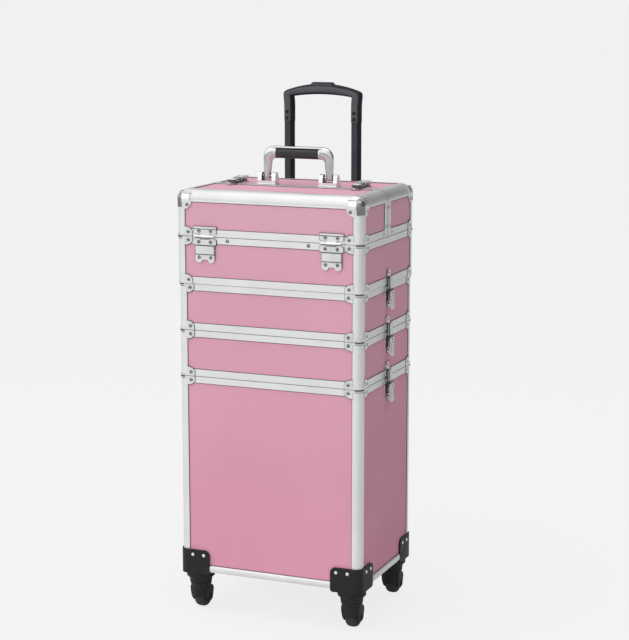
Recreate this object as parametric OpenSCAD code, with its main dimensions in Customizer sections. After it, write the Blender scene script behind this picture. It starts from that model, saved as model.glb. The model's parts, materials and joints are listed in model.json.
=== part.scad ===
// Rolling makeup case: a base bin on four swivel casters, two lift-off tray tiers and a top case
// with a split lid, held by draw latches, with a carry handle and a telescoping trolley handle.
// Millimetres, +Z up, floor at z = 0, front face towards -Y, case centred on x = 0 and y = 0.

/* [Case] */
// Outside width of the base and tray tiers
case_w = 340; // [330:1:360]
// Outside depth of the base and tray tiers
case_d = 250; // [244:1:270]
// Height of the underside of the base above the floor
case_lift = 75; // [74:0.5:80]
// Height of the base bin
base_h = 353.5; // [340:0.5:380]
// Height of each tray tier
tray_h = 81.5; // [78:0.5:90]
// Height of the top case body
body_h = 83; // [80:0.5:90]
// Height of the lid
lid_h = 80; // [78:0.5:90]
// How far the top case stands out past the tiers on each side
top_step = 1.5; // [0.5:0.1:2]
// Where the lid is split, front to back
split_y = -5; // [-8:0.5:0]

/* [Boards and profiles] */
// Thickness of the boards
board_t = 4; // [3:0.1:4.5]
// Wall thickness of the aluminium profiles
skin_t = 1.5; // [1.3:0.1:1.8]
// Height of the rail legs along each seam
rail_leg = 12; // [11:0.5:13]
// Outside radius of the upright corner posts
post_r = 11; // [10:0.5:12]
// Leg width of the upright corner posts
post_leg = 16; // [16:0.5:18]
// Outside radius of the top edges of the lid
edge_r = 18; // [17:0.5:18.5]
// Leg width of the top edges of the lid
edge_leg = 21; // [21:0.5:22]
// How deep a board sits in the slot of a profile
slot_depth = 8; // [7:0.5:8]
// Drop of the locating lip under each lift-off tier
lip_drop = 6; // [4:0.5:8]
// Gap between the locating lip and the tier below
lip_gap = 0.5; // [0.4:0.1:0.8]

/* [Latches and hinges] */
// Distance of the hinges and lid latches from the sides of the tiers
hinge_inset = 53; // [50:1:60]
// Width of a hinge leaf
hinge_w = 43; // [40:1:44]
// Radius of the hinge pins
hinge_pin_r = 1.5; // [1.3:0.1:1.6]
// Running gap between a pin and its bore
pin_gap = 0.05; // [0.03:0.01:0.08]
// Length of the latch lever below the seam
lever_len = 49; // [47:0.5:52]
// Width of the latch hook
hook_w = 13; // [12:0.5:13]

/* [Carry handle] */
// Outside width of the carry handle
handle_w = 132; // [126:1:136]
// Height of the carry handle above the lid
handle_h = 67.5; // [64:0.5:74]
// Distance of the handle pivot behind the lid split
handle_back = 13; // [12:0.5:16]
// Length of the soft grip
handle_grip_w = 86; // [80:1:90]

/* [Trolley] */
// Sideways offset of the trolley from the middle of the case
trolley_x = -9.5; // [-12:0.5:0]
// Distance between the trolley tubes
trolley_pitch = 130; // [124:1:134]
// Distance of the tubes behind the back of the base
trolley_back = 18; // [18:0.5:25]
// Width of the inner trolley tube
tube_w = 11.4; // [11:0.1:12]
// Depth of the inner trolley tube
tube_d = 22.4; // [22:0.1:23]
// Wall thickness of the trolley tubes
tube_t = 1.2; // [1.1:0.1:1.3]
// Sliding gap between one tube and the next
tube_gap = 0.2; // [0.15:0.05:0.25]
// Top of the trolley grip above the floor, handle pulled out
grip_top = 924; // [920:1:940]

/* [Casters] */
// Distance of the swivel axes from the outside faces
caster_inset = 25; // [25:0.5:28]
// Wheel radius
wheel_r = 19; // [18:0.25:19.5]
// Wheel width
wheel_w = 22; // [20:0.5:22]
// How far the wheel trails behind the swivel axis
caster_trail = 9; // [8:0.5:9.5]
// Radius of the swivel stem
stem_r = 4; // [3.5:0.1:4.5]

/* [Hidden] */
$fn = 48;
tiny = 0.02;
top_w = case_w + 2 * top_step;
top_d = case_d + 2 * top_step;
seam_1 = case_lift + base_h;
seam_2 = seam_1 + tray_h;
seam_3 = seam_2 + tray_h;
lid_z = seam_3 + body_h;
lid_top = lid_z + lid_h;
channel_d = 2 * skin_t + board_t;
corners = [[-1, -1, 0], [1, -1, 90], [1, 1, 180], [-1, 1, 270]];
ledge = 14;
lip_t = 2;
band_t = 1;
band_h = 14;
band_leg = 30;
strap_h = 4.5;
tab_cut = 5;
rivet_r = 2.2;
rivet_h = 0.9;

// Lid
split_gap = 0.3;
front_depth = top_d / 2 + split_y - split_gap;
rear_depth = top_d / 2 - split_y - split_gap;
stile_w = 14;
strip_w = 8;
cap_tab = 13;

// Hinges
hinge_x = case_w / 2 - hinge_inset;
hinge_out = 3;
knuckle_r = 2.8;
knuckle_half = 9.2;
knuckle_gap = 0.4;
leaf_t = 1.2;
leaf_start = 5;

// Latches
latch_pin_u = -14;
latch_pin_w = 4.8;
latch_pin_r = 1.5;
hook_pin_u = -32;
hook_pin_r = 1.2;
hook_knuckle_r = 2.4;
hook_t = 0.8;
claw_u = 12;
cheek_in = hook_w / 2 + 0.7;
cheek_t = 1.2;
ear_in = cheek_in + cheek_t + 0.4;
ear_t = 1.2;

// Inner trays
tray_end_gap = 17.5;
tray_front_gap = 24.5;
tray_split_gap = 9;
tray_half = top_w / 2 - tray_end_gap;
tray_y0 = tray_front_gap - top_d / 2;
tray_y1 = split_y - tray_split_gap;
tray_z0 = lid_z + 8;
tray_deep = 32;
tray_t = 2;
arm_len = 60;
arm_w = 10;
arm_t = 2;
arm_in = tray_half + 2;
arm_pin_r = 2;
arm_rest = 45;
arm_rise = arm_len * sin(arm_rest);
tray_pin_z = tray_z0 + 15.5;
guide_y = tray_y1 - 6;
drive_y = guide_y - 20;
body_pin_z = tray_pin_z - arm_rise;

// Carry handle
handle_y = split_y + handle_back;
handle_pin_up = 14.5;
handle_pin_z = lid_top + handle_pin_up;
handle_leg = 16;
handle_bar = 4.2;
handle_thick = 10;
handle_pin_r = 2;
handle_r = 20;
handle_inner_r = 7;
handle_grip_h = 17;
handle_leg_x = handle_w / 2 - handle_leg / 2;
handle_ear_gap = 1.6;
handle_ear_t = 7.5;
handle_ear_r = 6.5;
handle_block_h = 6.5;
handle_block_d = 18;

// Trolley
mid_w = tube_w + 2 * (tube_t + tube_gap);
mid_d = tube_d + 2 * (tube_t + tube_gap);
out_w = mid_w + 2 * (tube_t + tube_gap);
out_d = mid_d + 2 * (tube_t + tube_gap);
trolley_y = case_d / 2 + trolley_back;
out_foot = 17;
out_drop = 28.5;
stage_lap = 60;
mid_len = 300;
in_lap = 50;
grip_rise = 68;
grip_socket = 14;
out_z0 = case_lift + out_foot;
out_z1 = seam_1 - out_drop;
mid_z0 = out_z1 - stage_lap;
mid_z1 = mid_z0 + mid_len;
in_z0 = mid_z1 - in_lap;
grip_leg_z = grip_top - grip_rise;
in_z1 = grip_leg_z + grip_socket;
grip_leg_w = tube_w + 2;
grip_flare = 3;
grip_half = trolley_pitch / 2 + grip_leg_w / 2 + grip_flare;
grip_d = tube_d + 2.6;
grip_bar = 15;
grip_arch = 14;
grip_arch_r = (grip_half * grip_half + grip_arch * grip_arch) / (2 * grip_arch);
window_half = trolley_pitch / 2 - grip_leg_w / 2;
window_arch = 8;
window_r = (window_half * window_half + window_arch * window_arch) / (2 * window_arch);
button_w = 40;
button_d = 14;
button_h = 10;
button_pocket = 3.5;
button_up = 2.5;
button_gap = 0.3;
clamp_h = 18;
clamp_side = 9;
clamp_back = 2;

// Casters
mount_t = 2.5;
mount_leg = 55;
mount_up = 39;
mount_down = 5;
mount_round = 10;
mount_foot_round = 5;
collar_h = 11;
fork_top = case_lift - 26.5;
fork_gap = 0.5;
housing_h = case_lift - fork_top - fork_gap - mount_down - collar_h;
fork_r = 19;
fork_leg_t = 5;
fork_leg_in = wheel_w / 2 + 0.6;
fork_half = fork_leg_in + fork_leg_t;
fork_top_half = fork_half + 1.9;
fork_foot_half = fork_half - 1.4;
fork_web = 4;
hub_r = 9;
axle_r = 3;

// Colours
pink = [0.84, 0.62, 0.70];
alu = [0.86, 0.87, 0.88];
nickel = [0.78, 0.79, 0.80];
chrome = [0.70, 0.71, 0.73];
black = [0.09, 0.09, 0.10];
tyre_black = [0.06, 0.06, 0.06];
lining = [0.16, 0.15, 0.16];

// Basic shapes
module span(x0, x1, y0, y1, z0, z1) {
    translate([x0, y0, z0])
        cube([x1 - x0, y1 - y0, z1 - z0]);
}

module bar_x(r, x0, x1) {
    translate([x0, 0, 0])
        rotate([0, 90, 0])
            cylinder(r = r, h = x1 - x0);
}

// A domed rivet head on the plane z = 0
module rivet() {
    cylinder(r1 = rivet_r, r2 = rivet_r * 0.55, h = rivet_h);
}

// A rivet on an outward facing plane, in hinge and latch axes (x across, y outward, z up)
module face_rivet(x, y, z) {
    translate([x, y, z])
        rotate([-90, 0, 0])
            rivet();
}

module rounded_square(w, d, r) {
    square([w - 2 * r, d], center = true);
    square([w, d - 2 * r], center = true);
    for (sx = [-1, 1], sy = [-1, 1])
        translate([sx * (w / 2 - r), sy * (d / 2 - r)])
            circle(r = r);
}

// The outside of a rounded corner, sharp corner at the origin, inward along +x and +y
module corner_fill(r, leg) {
    translate([r, r])
        circle(r = r);
    translate([r, 0])
        square([leg - r, leg]);
    translate([0, r])
        square([leg, leg - r]);
}

// Slotted profile for two boards that meet at a rounded corner
module edge_section(r, leg) {
    difference() {
        intersection() {
            square([leg, leg]);
            corner_fill(r, leg);
        }
        translate([leg - slot_depth, skin_t])
            square([slot_depth + 1, board_t]);
        translate([skin_t, leg - slot_depth])
            square([board_t, slot_depth + 1]);
        translate([channel_d, channel_d])
            square([leg, leg]);
    }
}

// A thin band that wraps the outside of a rounded corner
module edge_band(r, leg, t) {
    difference() {
        intersection() {
            translate([-t, -t])
                square([leg + t, leg + t]);
            translate([-t, -t])
                corner_fill(r + t, leg + t);
        }
        corner_fill(r, leg + r);
    }
}

// A U channel along +x, outer face on y = 0, seam on z = 0, opening towards +z
module channel(len, shelf) {
    span(0, len, 0, skin_t, 0, rail_leg);
    span(0, len, 0, shelf, 0, skin_t);
    span(0, len, skin_t + board_t, channel_d, 0, rail_leg);
}

// Four channels between the posts of a tier
module rail_ring(w, d, shelf) {
    for (c = corners) {
        len = (c[2] % 180 == 0 ? w : d) - 2 * post_leg;
        translate([c[0] * w / 2, c[1] * d / 2, 0])
            rotate([0, 0, c[2]])
                translate([post_leg, 0, 0])
                    channel(len, shelf);
    }
}

// Locating lip that drops into the tier below
module locating_lip(w, d) {
    for (c = corners) {
        len = (c[2] % 180 == 0 ? w : d) - 2 * post_leg;
        translate([c[0] * w / 2, c[1] * d / 2, 0])
            rotate([0, 0, c[2]])
                translate([post_leg, 0, 0])
                    span(2, len - 2, channel_d + lip_gap, channel_d + lip_gap + lip_t, -lip_drop, 0);
    }
}

module tier_frame(w, d, z0, h) {
    translate([0, 0, z0]) {
        for (c = corners)
            translate([c[0] * w / 2, c[1] * d / 2, 0])
                rotate([0, 0, c[2]])
                    linear_extrude(h)
                        edge_section(post_r, post_leg);
        rail_ring(w, d, ledge);
        translate([0, 0, h])
            mirror([0, 0, 1])
                rail_ring(w, d, channel_d);
    }
}

// Four wall boards and a floor board
module tier_panels(w, d, z0, h) {
    wall_x = w / 2 - post_leg + slot_depth;
    wall_y = d / 2 - post_leg + slot_depth;
    for (s = [-1, 1]) {
        span(-wall_x, wall_x, s * (d / 2 - skin_t - board_t / 2) - board_t / 2,
            s * (d / 2 - skin_t - board_t / 2) + board_t / 2, z0 + skin_t, z0 + h - skin_t);
        span(s * (w / 2 - skin_t - board_t / 2) - board_t / 2,
            s * (w / 2 - skin_t - board_t / 2) + board_t / 2, -wall_y, wall_y, z0 + skin_t, z0 + h - skin_t);
    }
    span(-w / 2 + channel_d, w / 2 - channel_d, -d / 2 + channel_d, d / 2 - channel_d,
        z0 + skin_t, z0 + skin_t + board_t);
}

// A flat tab beside the post, x along the face, y up
module bracket_tab() {
    polygon([[post_leg - 1, 0], [band_leg, 0], [band_leg, band_h - tab_cut], [band_leg - tab_cut, band_h],
        [post_leg + 1, band_h + 2], [post_leg - 1, band_h + 2]]);
}

// One corner bracket, sharp corner at the origin, standing on z = 0, with a rivet on each face
module corner_bracket() {
    linear_extrude(strap_h)
        edge_band(post_r, band_leg, band_t);
    rotate([90, 0, 0])
        linear_extrude(band_t)
            bracket_tab();
    rotate([90, 0, 90])
        translate([0, 0, -band_t])
            linear_extrude(band_t)
                bracket_tab();
    translate([band_leg - 7, -band_t, band_h / 2])
        rotate([90, 0, 0])
            rivet();
    translate([-band_t, band_leg - 7, band_h / 2])
        rotate([0, -90, 0])
            rivet();
}

// Brackets at the four corners of a tier, above the seam at z, or below it where flip is 1
module bracket_ring(w, d, z, flip = 0) {
    for (c = corners)
        translate([c[0] * w / 2, c[1] * d / 2, z])
            mirror([0, 0, flip])
                rotate([0, 0, c[2]])
                    corner_bracket();
}

// Latch axes: x across, y outward, z towards the catch, seam on z = 0
module on_side(side, z) {
    translate([side * case_w / 2, 0, z])
        rotate([0, 0, -90 * side])
            children();
}

module on_lid_top(side) {
    translate([side * hinge_x, split_y, lid_top])
        rotate([90, 0, 0])
            children();
}

// Fixed plate with two ears and the lever pin
module latch_base(edge) {
    span(-ear_in - ear_t, ear_in + ear_t, 0, 1, -40, -3);
    span(-ear_in - ear_t, ear_in + ear_t, -skin_t, 0, -40, -edge);
    for (s = [-1, 1]) {
        span(s * (ear_in + ear_t / 2) - ear_t / 2, s * (ear_in + ear_t / 2) + ear_t / 2, 0, latch_pin_w,
            latch_pin_u - 3.6, latch_pin_u + 3.6);
        translate([0, latch_pin_w, latch_pin_u])
            bar_x(3.6, s * (ear_in + ear_t / 2) - ear_t / 2, s * (ear_in + ear_t / 2) + ear_t / 2);
        face_rivet(s * 5, 1, -6);
    }
    translate([0, latch_pin_w, latch_pin_u])
        bar_x(latch_pin_r, -ear_in - ear_t - 0.4, ear_in + ear_t + 0.4);
}

// Catch plate with the ridge that the hook pulls on
module latch_catch(step, edge) {
    translate([0, step, 0]) {
        span(-8, 8, 0, leaf_t, 3, 18);
        translate([0, 0, 18])
            rotate([-90, 0, 0])
                cylinder(r = 8, h = leaf_t);
        span(-6, 6, -skin_t, 0, edge, 20);
        face_rivet(0, leaf_t, 20.5);
    }
    span(-6, 6, step, 5.4, 8, claw_u - 0.5);
}

// Lever: two cheeks on the pin, a flared tail plate and the hook pin
module latch_lever() {
    difference() {
        for (s = [-1, 1]) {
            x0 = s * (cheek_in + cheek_t / 2) - cheek_t / 2;
            span(x0, x0 + cheek_t, 2.8, 8, -lever_len + 6, latch_pin_u);
            translate([0, latch_pin_w, latch_pin_u])
                bar_x(3.2, x0, x0 + cheek_t);
        }
        translate([0, latch_pin_w, latch_pin_u])
            bar_x(latch_pin_r + pin_gap, -30, 30);
    }
    translate([0, latch_pin_w, hook_pin_u])
        bar_x(hook_pin_r, -cheek_in - cheek_t / 2, cheek_in + cheek_t / 2);
    difference() {
        union() {
            span(-cheek_in - cheek_t, cheek_in + cheek_t, 6.8, 8, -lever_len + 9, -38);
            translate([0, 6.8, -lever_len + 9.5])
                rotate([-90, 0, 0])
                    cylinder(r = 9.5, h = 1.2);
            translate([0, 8, -lever_len + 7])
                rotate([-90, 0, 0])
                    cylinder(r = 4.2, h = 1.6);
        }
        span(-hook_w / 2 - 0.6, hook_w / 2 + 0.6, 6, 9, -38, -20);
        translate([0, 8.6, -lever_len + 7])
            rotate([-90, 0, 0])
                cylinder(r = 2.6, h = 2);
    }
}

// Hook plate with a knuckle on the lever and a claw over the catch
module latch_hook() {
    difference() {
        union() {
            span(-hook_w / 2, hook_w / 2, 6.6, 6.6 + hook_t, hook_pin_u, claw_u + 1.6);
            span(-hook_w / 2, hook_w / 2, 3.6, 6.6 + hook_t, claw_u, claw_u + 1.6);
            translate([0, latch_pin_w, hook_pin_u])
                bar_x(hook_knuckle_r, -hook_w / 2, hook_w / 2);
        }
        translate([0, latch_pin_w, hook_pin_u])
            bar_x(hook_pin_r + pin_gap, -hook_w, hook_w);
        translate([0, 6, -3])
            rotate([-90, 0, 0])
                cylinder(r = 2, h = 3);
    }
}

// Hinge axes: x along the pin, y outward, z up, seam on z = 0
module on_front(x) {
    translate([x, -top_d / 2, lid_z])
        rotate([0, 0, 180])
            children();
}

module on_rear(x) {
    translate([x, top_d / 2, lid_z])
        children();
}

// Fixed leaf with two outer knuckles, the pin and a scalloped foot
module hinge_lower_leaf() {
    foot = hinge_w / 2 - 3.5;
    span(-foot, foot, 0, leaf_t, -40, -leaf_start);
    span(-foot, foot, -skin_t, 0, -40, -rail_leg);
    span(-foot + 1, foot - 1, leaf_t, leaf_t + 1.6, -30, -14);
    for (s = [-1, 1]) {
        translate([s * (foot - 6.5), 0, -39])
            rotate([-90, 0, 0])
                cylinder(r = 6.5, h = leaf_t);
        face_rivet(s * 11, leaf_t, -8.5);
        face_rivet(s * 11, leaf_t, -36);
        x0 = s > 0 ? knuckle_half + knuckle_gap : -foot;
        x1 = s > 0 ? foot : -knuckle_half - knuckle_gap;
        span(x0, x1, 0.2, 1.4, -leaf_start - 0.5, -1);
        translate([0, hinge_out, 0])
            bar_x(knuckle_r, x0, x1);
    }
    translate([0, hinge_out, 0])
        bar_x(hinge_pin_r, -foot, foot);
}

// Moving leaf with the middle knuckle
module hinge_upper_leaf() {
    difference() {
        union() {
            span(-hinge_w / 2, hinge_w / 2, 0, leaf_t, leaf_start, 17);
            span(-hinge_w / 2 + 1.5, hinge_w / 2 - 1.5, -skin_t, 0, rail_leg, 17);
            span(-hinge_w / 2 + 2, hinge_w / 2 - 2, leaf_t, leaf_t + 1.2, 13.5, 17);
            span(-knuckle_half, knuckle_half, 0.2, 1.4, 1, leaf_start + 0.5);
            translate([0, hinge_out, 0])
                bar_x(knuckle_r, -knuckle_half, knuckle_half);
            for (s = [-1, 1])
                face_rivet(s * 11, leaf_t, 9.5);
        }
        translate([0, hinge_out, 0])
            bar_x(hinge_pin_r + pin_gap, -hinge_w, hinge_w);
    }
}

// Half lid axes: outer face on y = 0, split on y = depth, seam on z = 0
module lid_frame(depth) {
    w = top_w;
    for (s = [-1, 1]) {
        translate([s * w / 2, 0, 0])
            rotate([0, 0, s > 0 ? 90 : 0])
                linear_extrude(lid_h - edge_leg)
                    edge_section(post_r, post_leg);
        side_len = depth - post_leg - stile_w;
        translate([s * w / 2, s > 0 ? post_leg : post_leg + side_len, 0])
            rotate([0, 0, 90 * s])
                channel(side_len, channel_d);
        stile_x = s > 0 ? w / 2 - channel_d : -w / 2;
        outer_x = s > 0 ? w / 2 - skin_t : -w / 2;
        inner_x = s > 0 ? w / 2 - channel_d : -w / 2 + skin_t + board_t;
        span(outer_x, outer_x + skin_t, depth - stile_w, depth, 0, lid_h - edge_leg);
        span(inner_x, inner_x + skin_t, depth - stile_w, depth, 0, lid_h - edge_leg);
        span(stile_x, stile_x + channel_d, depth - skin_t, depth, 0, lid_h - edge_leg);
        translate([s * w / 2, edge_leg, lid_h])
            rotate([-90, 0, 0])
                rotate([0, 0, s > 0 ? 90 : 0])
                    linear_extrude(depth - edge_leg)
                        edge_section(edge_r, edge_leg);
    }
    translate([-w / 2 + post_leg, 0, 0])
        channel(w - 2 * post_leg, channel_d);
    translate([-w / 2 + edge_leg, 0, lid_h])
        rotate([90, 0, 90])
            rotate([0, 0, -90])
                linear_extrude(w - 2 * edge_leg)
                    edge_section(edge_r, edge_leg);
    strip_x = w / 2 - edge_leg;
    span(-strip_x, strip_x, depth - strip_w, depth, lid_h - skin_t, lid_h);
    span(-strip_x, strip_x, depth - strip_w, depth, lid_h - channel_d, lid_h - skin_t - board_t);
    span(-strip_x, strip_x, depth - skin_t, depth, lid_h - channel_d, lid_h);
}

module lid_panels(depth) {
    w = top_w;
    wall_x = w / 2 - post_leg + slot_depth;
    wall_z = lid_h - edge_leg + slot_depth;
    top_x = w / 2 - edge_leg + slot_depth;
    cap_x = w / 2 - edge_leg;
    cap_z = lid_h - edge_leg;
    span(-wall_x, wall_x, skin_t, skin_t + board_t, skin_t, cap_z);
    span(-cap_x, cap_x, skin_t, skin_t + board_t, cap_z, wall_z);
    for (s = [-1, 1]) {
        x0 = s > 0 ? w / 2 - skin_t - board_t : -w / 2 + skin_t;
        span(x0, x0 + board_t, post_leg - slot_depth, depth - skin_t, skin_t, cap_z);
        span(x0, x0 + board_t, edge_leg, depth - skin_t, cap_z, wall_z);
    }
    span(-cap_x, cap_x, edge_leg - slot_depth, edge_leg, lid_h - skin_t - board_t, lid_h - skin_t);
    span(-top_x, top_x, edge_leg, depth - skin_t, lid_h - skin_t - board_t, lid_h - skin_t);
}

// Quarter-round tab below the ball, beside the post
module corner_tab() {
    intersection() {
        translate([post_leg - 2, edge_leg - 2])
            circle(r = cap_tab + 2);
        translate([post_leg - 2, edge_leg - 2])
            square(cap_tab + 2);
    }
}

// Ball corner of the lid, sharp corner at the origin, inward along +x, +y and +z
module ball_corner() {
    ball_c = edge_leg - 1;
    ball_r = ball_c + band_t;
    intersection() {
        translate([-band_t, -band_t, -band_t])
            cube([edge_leg + band_t, edge_leg + band_t, edge_leg + band_t]);
        difference() {
            translate([ball_c, ball_c, ball_c])
                sphere(r = ball_r);
            translate([ball_c, ball_c, ball_c])
                sphere(r = ball_r - 1.6);
        }
    }
    rotate([90, 0, 0])
        linear_extrude(band_t)
            corner_tab();
    rotate([90, 0, 90])
        translate([0, 0, -band_t])
            linear_extrude(band_t)
                corner_tab();
    translate([post_leg + cap_tab * 0.4, -band_t, edge_leg + cap_tab * 0.4])
        rotate([90, 0, 0])
            rivet();
    translate([-band_t, post_leg + cap_tab * 0.4, edge_leg + cap_tab * 0.4])
        rotate([0, -90, 0])
            rivet();
}

// Two ball corners and two seam brackets of a half lid
module lid_corners() {
    for (s = [-1, 1])
        translate([s * top_w / 2, 0, 0]) {
            translate([0, 0, lid_h])
                mirror([0, 0, 1])
                    rotate([0, 0, s > 0 ? 90 : 0])
                        ball_corner();
            rotate([0, 0, s > 0 ? 90 : 0])
                corner_bracket();
        }
}

module on_front_lid() {
    translate([0, -top_d / 2, lid_z])
        children();
}

module on_rear_lid() {
    translate([0, top_d / 2, lid_z])
        rotate([0, 0, 180])
            children();
}

// Screw heads along the stile of a half lid
module stile_rivets(depth) {
    for (s = [-1, 1], z = [18, lid_h - edge_leg - 8])
        translate([s * top_w / 2, depth - stile_w / 2, z])
            rotate([0, 90 * s, 0])
                rivet();
}

// An open inner tray with its pivot pins on both ends
module inner_tray() {
    difference() {
        span(-tray_half, tray_half, tray_y0, tray_y1, tray_z0, tray_z0 + tray_deep);
        span(-tray_half + tray_t, tray_half - tray_t, tray_y0 + tray_t, tray_y1 - tray_t,
            tray_z0 + tray_t, tray_z0 + tray_deep + 1);
    }
    for (y = [drive_y, guide_y], s = [-1, 1])
        translate([0, y, tray_pin_z])
            bar_x(arm_pin_r, s > 0 ? tray_half - 1 : -arm_in - arm_t - 0.5,
                s > 0 ? arm_in + arm_t + 0.5 : 1 - tray_half);
}

// A pair of arms that carry the tray, upper pivot at y
module tray_arms(y) {
    for (s = [-1, 1])
        translate([s > 0 ? arm_in : -arm_in - arm_t, y, tray_pin_z])
            rotate([-arm_rest, 0, 0])
                difference() {
                    union() {
                        span(0, arm_t, -arm_w / 2, arm_w / 2, -arm_len, 0);
                        bar_x(arm_w / 2, 0, arm_t);
                        translate([0, 0, -arm_len])
                            bar_x(arm_w / 2, 0, arm_t);
                    }
                    bar_x(arm_pin_r + pin_gap, -1, arm_t + 1);
                    translate([0, 0, -arm_len])
                        bar_x(arm_pin_r + pin_gap, -1, arm_t + 1);
                }
}

// Plates with fixed pivot pins for one tray, on both side walls of the top case
module tray_pivots() {
    wall = top_w / 2 - skin_t - board_t;
    for (s = [-1, 1]) {
        span(s > 0 ? wall - 1.5 : -wall, s > 0 ? wall : 1.5 - wall,
            drive_y - arm_rise - 10, guide_y - arm_rise + 10, body_pin_z - 10, body_pin_z + 6);
        for (y = [drive_y - arm_rise, guide_y - arm_rise])
            translate([0, y, body_pin_z]) {
                bar_x(arm_pin_r, s > 0 ? arm_in - 0.5 : 1 - wall, s > 0 ? wall - 1 : 0.5 - arm_in);
                bar_x(arm_pin_r + 2, s > 0 ? arm_in + arm_t + 0.4 : 1 - wall,
                    s > 0 ? wall - 1 : -arm_in - arm_t - 0.4);
            }
    }
}

module tube(w, d, z0, z1) {
    for (s = [-1, 1])
        translate([trolley_x + s * trolley_pitch / 2, trolley_y, z0])
            linear_extrude(z1 - z0)
                difference() {
                    square([w, d], center = true);
                    square([w - 2 * tube_t, d - 2 * tube_t], center = true);
                }
}

// Base bin
module base_panels() {
    color(pink)
        tier_panels(case_w, case_d, case_lift, base_h);
}

module base_frame() {
    color(alu)
        tier_frame(case_w, case_d, case_lift, base_h);
}

module base_fittings() {
    color(nickel) {
        bracket_ring(case_w, case_d, seam_1, 1);
        for (s = [-1, 1])
            on_side(s, seam_1)
                latch_base(rail_leg);
    }
}

// One corner mount, sharp corner at the origin, underside of the base on z = 0
module corner_mount() {
    difference() {
        union() {
            translate([0, 0, -mount_down])
                linear_extrude(mount_up + mount_down)
                    edge_band(post_r, mount_leg, mount_t);
            difference() {
                translate([0, 0, -mount_down])
                    linear_extrude(mount_down)
                        intersection() {
                            square([mount_leg, mount_leg]);
                            corner_fill(post_r, mount_leg);
                        }
                translate([mount_leg, mount_leg, -mount_down - 1])
                    cylinder(r = 22, h = mount_down + 2);
            }
            translate([caster_inset, caster_inset, -mount_down - collar_h])
                cylinder(r1 = caster_inset - 2, r2 = caster_inset, h = 2 + tiny);
            translate([caster_inset, caster_inset, 2 - mount_down - collar_h])
                cylinder(r = caster_inset, h = collar_h - 2 + tiny);
            translate([caster_inset, caster_inset, fork_top + fork_gap - case_lift])
                cylinder(r1 = fork_r + 0.5, r2 = fork_r + 1.5, h = housing_h + tiny);
        }
        for (a = [0, 1])
            mirror([a, -a, 0])
                translate([mount_leg - mount_round, -mount_t - 1, mount_up - mount_round])
                    difference() {
                        cube([mount_round + 1, mount_t + 2, mount_round + 1]);
                        rotate([-90, 0, 0])
                            cylinder(r = mount_round, h = mount_t + 2);
                    }
        for (a = [0, 1])
            mirror([a, -a, 0])
                translate([mount_leg - mount_foot_round, -mount_t - 1, mount_foot_round - mount_down])
                    difference() {
                        translate([0, 0, -mount_foot_round - 1])
                            cube([mount_foot_round + 1, mount_leg / 2, mount_foot_round + 1]);
                        rotate([-90, 0, 0])
                            cylinder(r = mount_foot_round, h = mount_leg / 2);
                    }
        translate([caster_inset, caster_inset, fork_top - case_lift])
            cylinder(r = stem_r + pin_gap, h = case_lift - fork_top - 8);
    }
    for (x = [23, 44]) {
        translate([x, -mount_t, mount_up - 9])
            rotate([90, 0, 0])
                rivet();
        translate([-mount_t, x, mount_up - 9])
            rotate([0, -90, 0])
                rivet();
    }
}

module caster_corner_mounts() {
    color(black)
        for (c = corners)
            translate([c[0] * case_w / 2, c[1] * case_d / 2, case_lift])
                rotate([0, 0, c[2]])
                    corner_mount();
}

module trolley_outer_tubes() {
    color(black)
        tube(out_w, out_d, out_z0, out_z1);
}

// Two clamps that hold the outer tubes to the back of the base
module trolley_brackets() {
    color(black)
        for (z = [out_z0 - 4, out_z1 - clamp_h])
            difference() {
                span(trolley_x - trolley_pitch / 2 - out_w / 2 - clamp_side,
                    trolley_x + trolley_pitch / 2 + out_w / 2 + clamp_side,
                    case_d / 2 - skin_t, trolley_y + out_d / 2 + clamp_back, z, z + clamp_h);
                for (s = [-1, 1])
                    translate([trolley_x + s * trolley_pitch / 2, trolley_y, out_z0])
                        linear_extrude(out_z1)
                            square([out_w, out_d], center = true);
            }
}

// Lower tray tier
module tray_3_panels() {
    color(pink)
        tier_panels(case_w, case_d, seam_1, tray_h);
}

module tray_3_frame() {
    color(alu) {
        tier_frame(case_w, case_d, seam_1, tray_h);
        translate([0, 0, seam_1])
            locating_lip(case_w, case_d);
    }
}

module tray_3_fittings() {
    color(nickel) {
        bracket_ring(case_w, case_d, seam_1);
        bracket_ring(case_w, case_d, seam_2, 1);
        for (s = [-1, 1]) {
            on_side(s, seam_1)
                latch_catch(0, rail_leg);
            on_side(s, seam_2)
                latch_base(rail_leg);
        }
    }
}

// Upper tray tier
module tray_2_panels() {
    color(pink)
        tier_panels(case_w, case_d, seam_2, tray_h);
}

module tray_2_frame() {
    color(alu) {
        tier_frame(case_w, case_d, seam_2, tray_h);
        translate([0, 0, seam_2])
            locating_lip(case_w, case_d);
    }
}

module tray_2_fittings() {
    color(nickel) {
        bracket_ring(case_w, case_d, seam_2);
        bracket_ring(case_w, case_d, seam_3, 1);
        for (s = [-1, 1]) {
            on_side(s, seam_2)
                latch_catch(0, rail_leg);
            on_side(s, seam_3)
                latch_base(rail_leg);
        }
    }
}

// Top case body
module top_case_panels() {
    color(pink)
        tier_panels(top_w, top_d, seam_3, body_h);
}

module top_case_frame() {
    color(alu) {
        tier_frame(top_w, top_d, seam_3, body_h);
        translate([0, 0, seam_3])
            locating_lip(case_w, case_d);
    }
}

module top_case_fittings() {
    color(nickel) {
        bracket_ring(top_w, top_d, seam_3);
        bracket_ring(top_w, top_d, lid_z, 1);
        for (s = [-1, 1])
            on_side(s, seam_3)
                latch_catch(top_step, rail_leg);
        tray_pivots();
        mirror([0, 1, 0])
            tray_pivots();
    }
}

module lid_hinge_body_leaves() {
    color(nickel)
        for (s = [-1, 1]) {
            on_front(s * hinge_x)
                hinge_lower_leaf();
            on_rear(s * hinge_x)
                hinge_lower_leaf();
        }
}

// Rear half lid
module rear_lid_panels() {
    color(pink)
        on_rear_lid()
            lid_panels(rear_depth);
}

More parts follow.
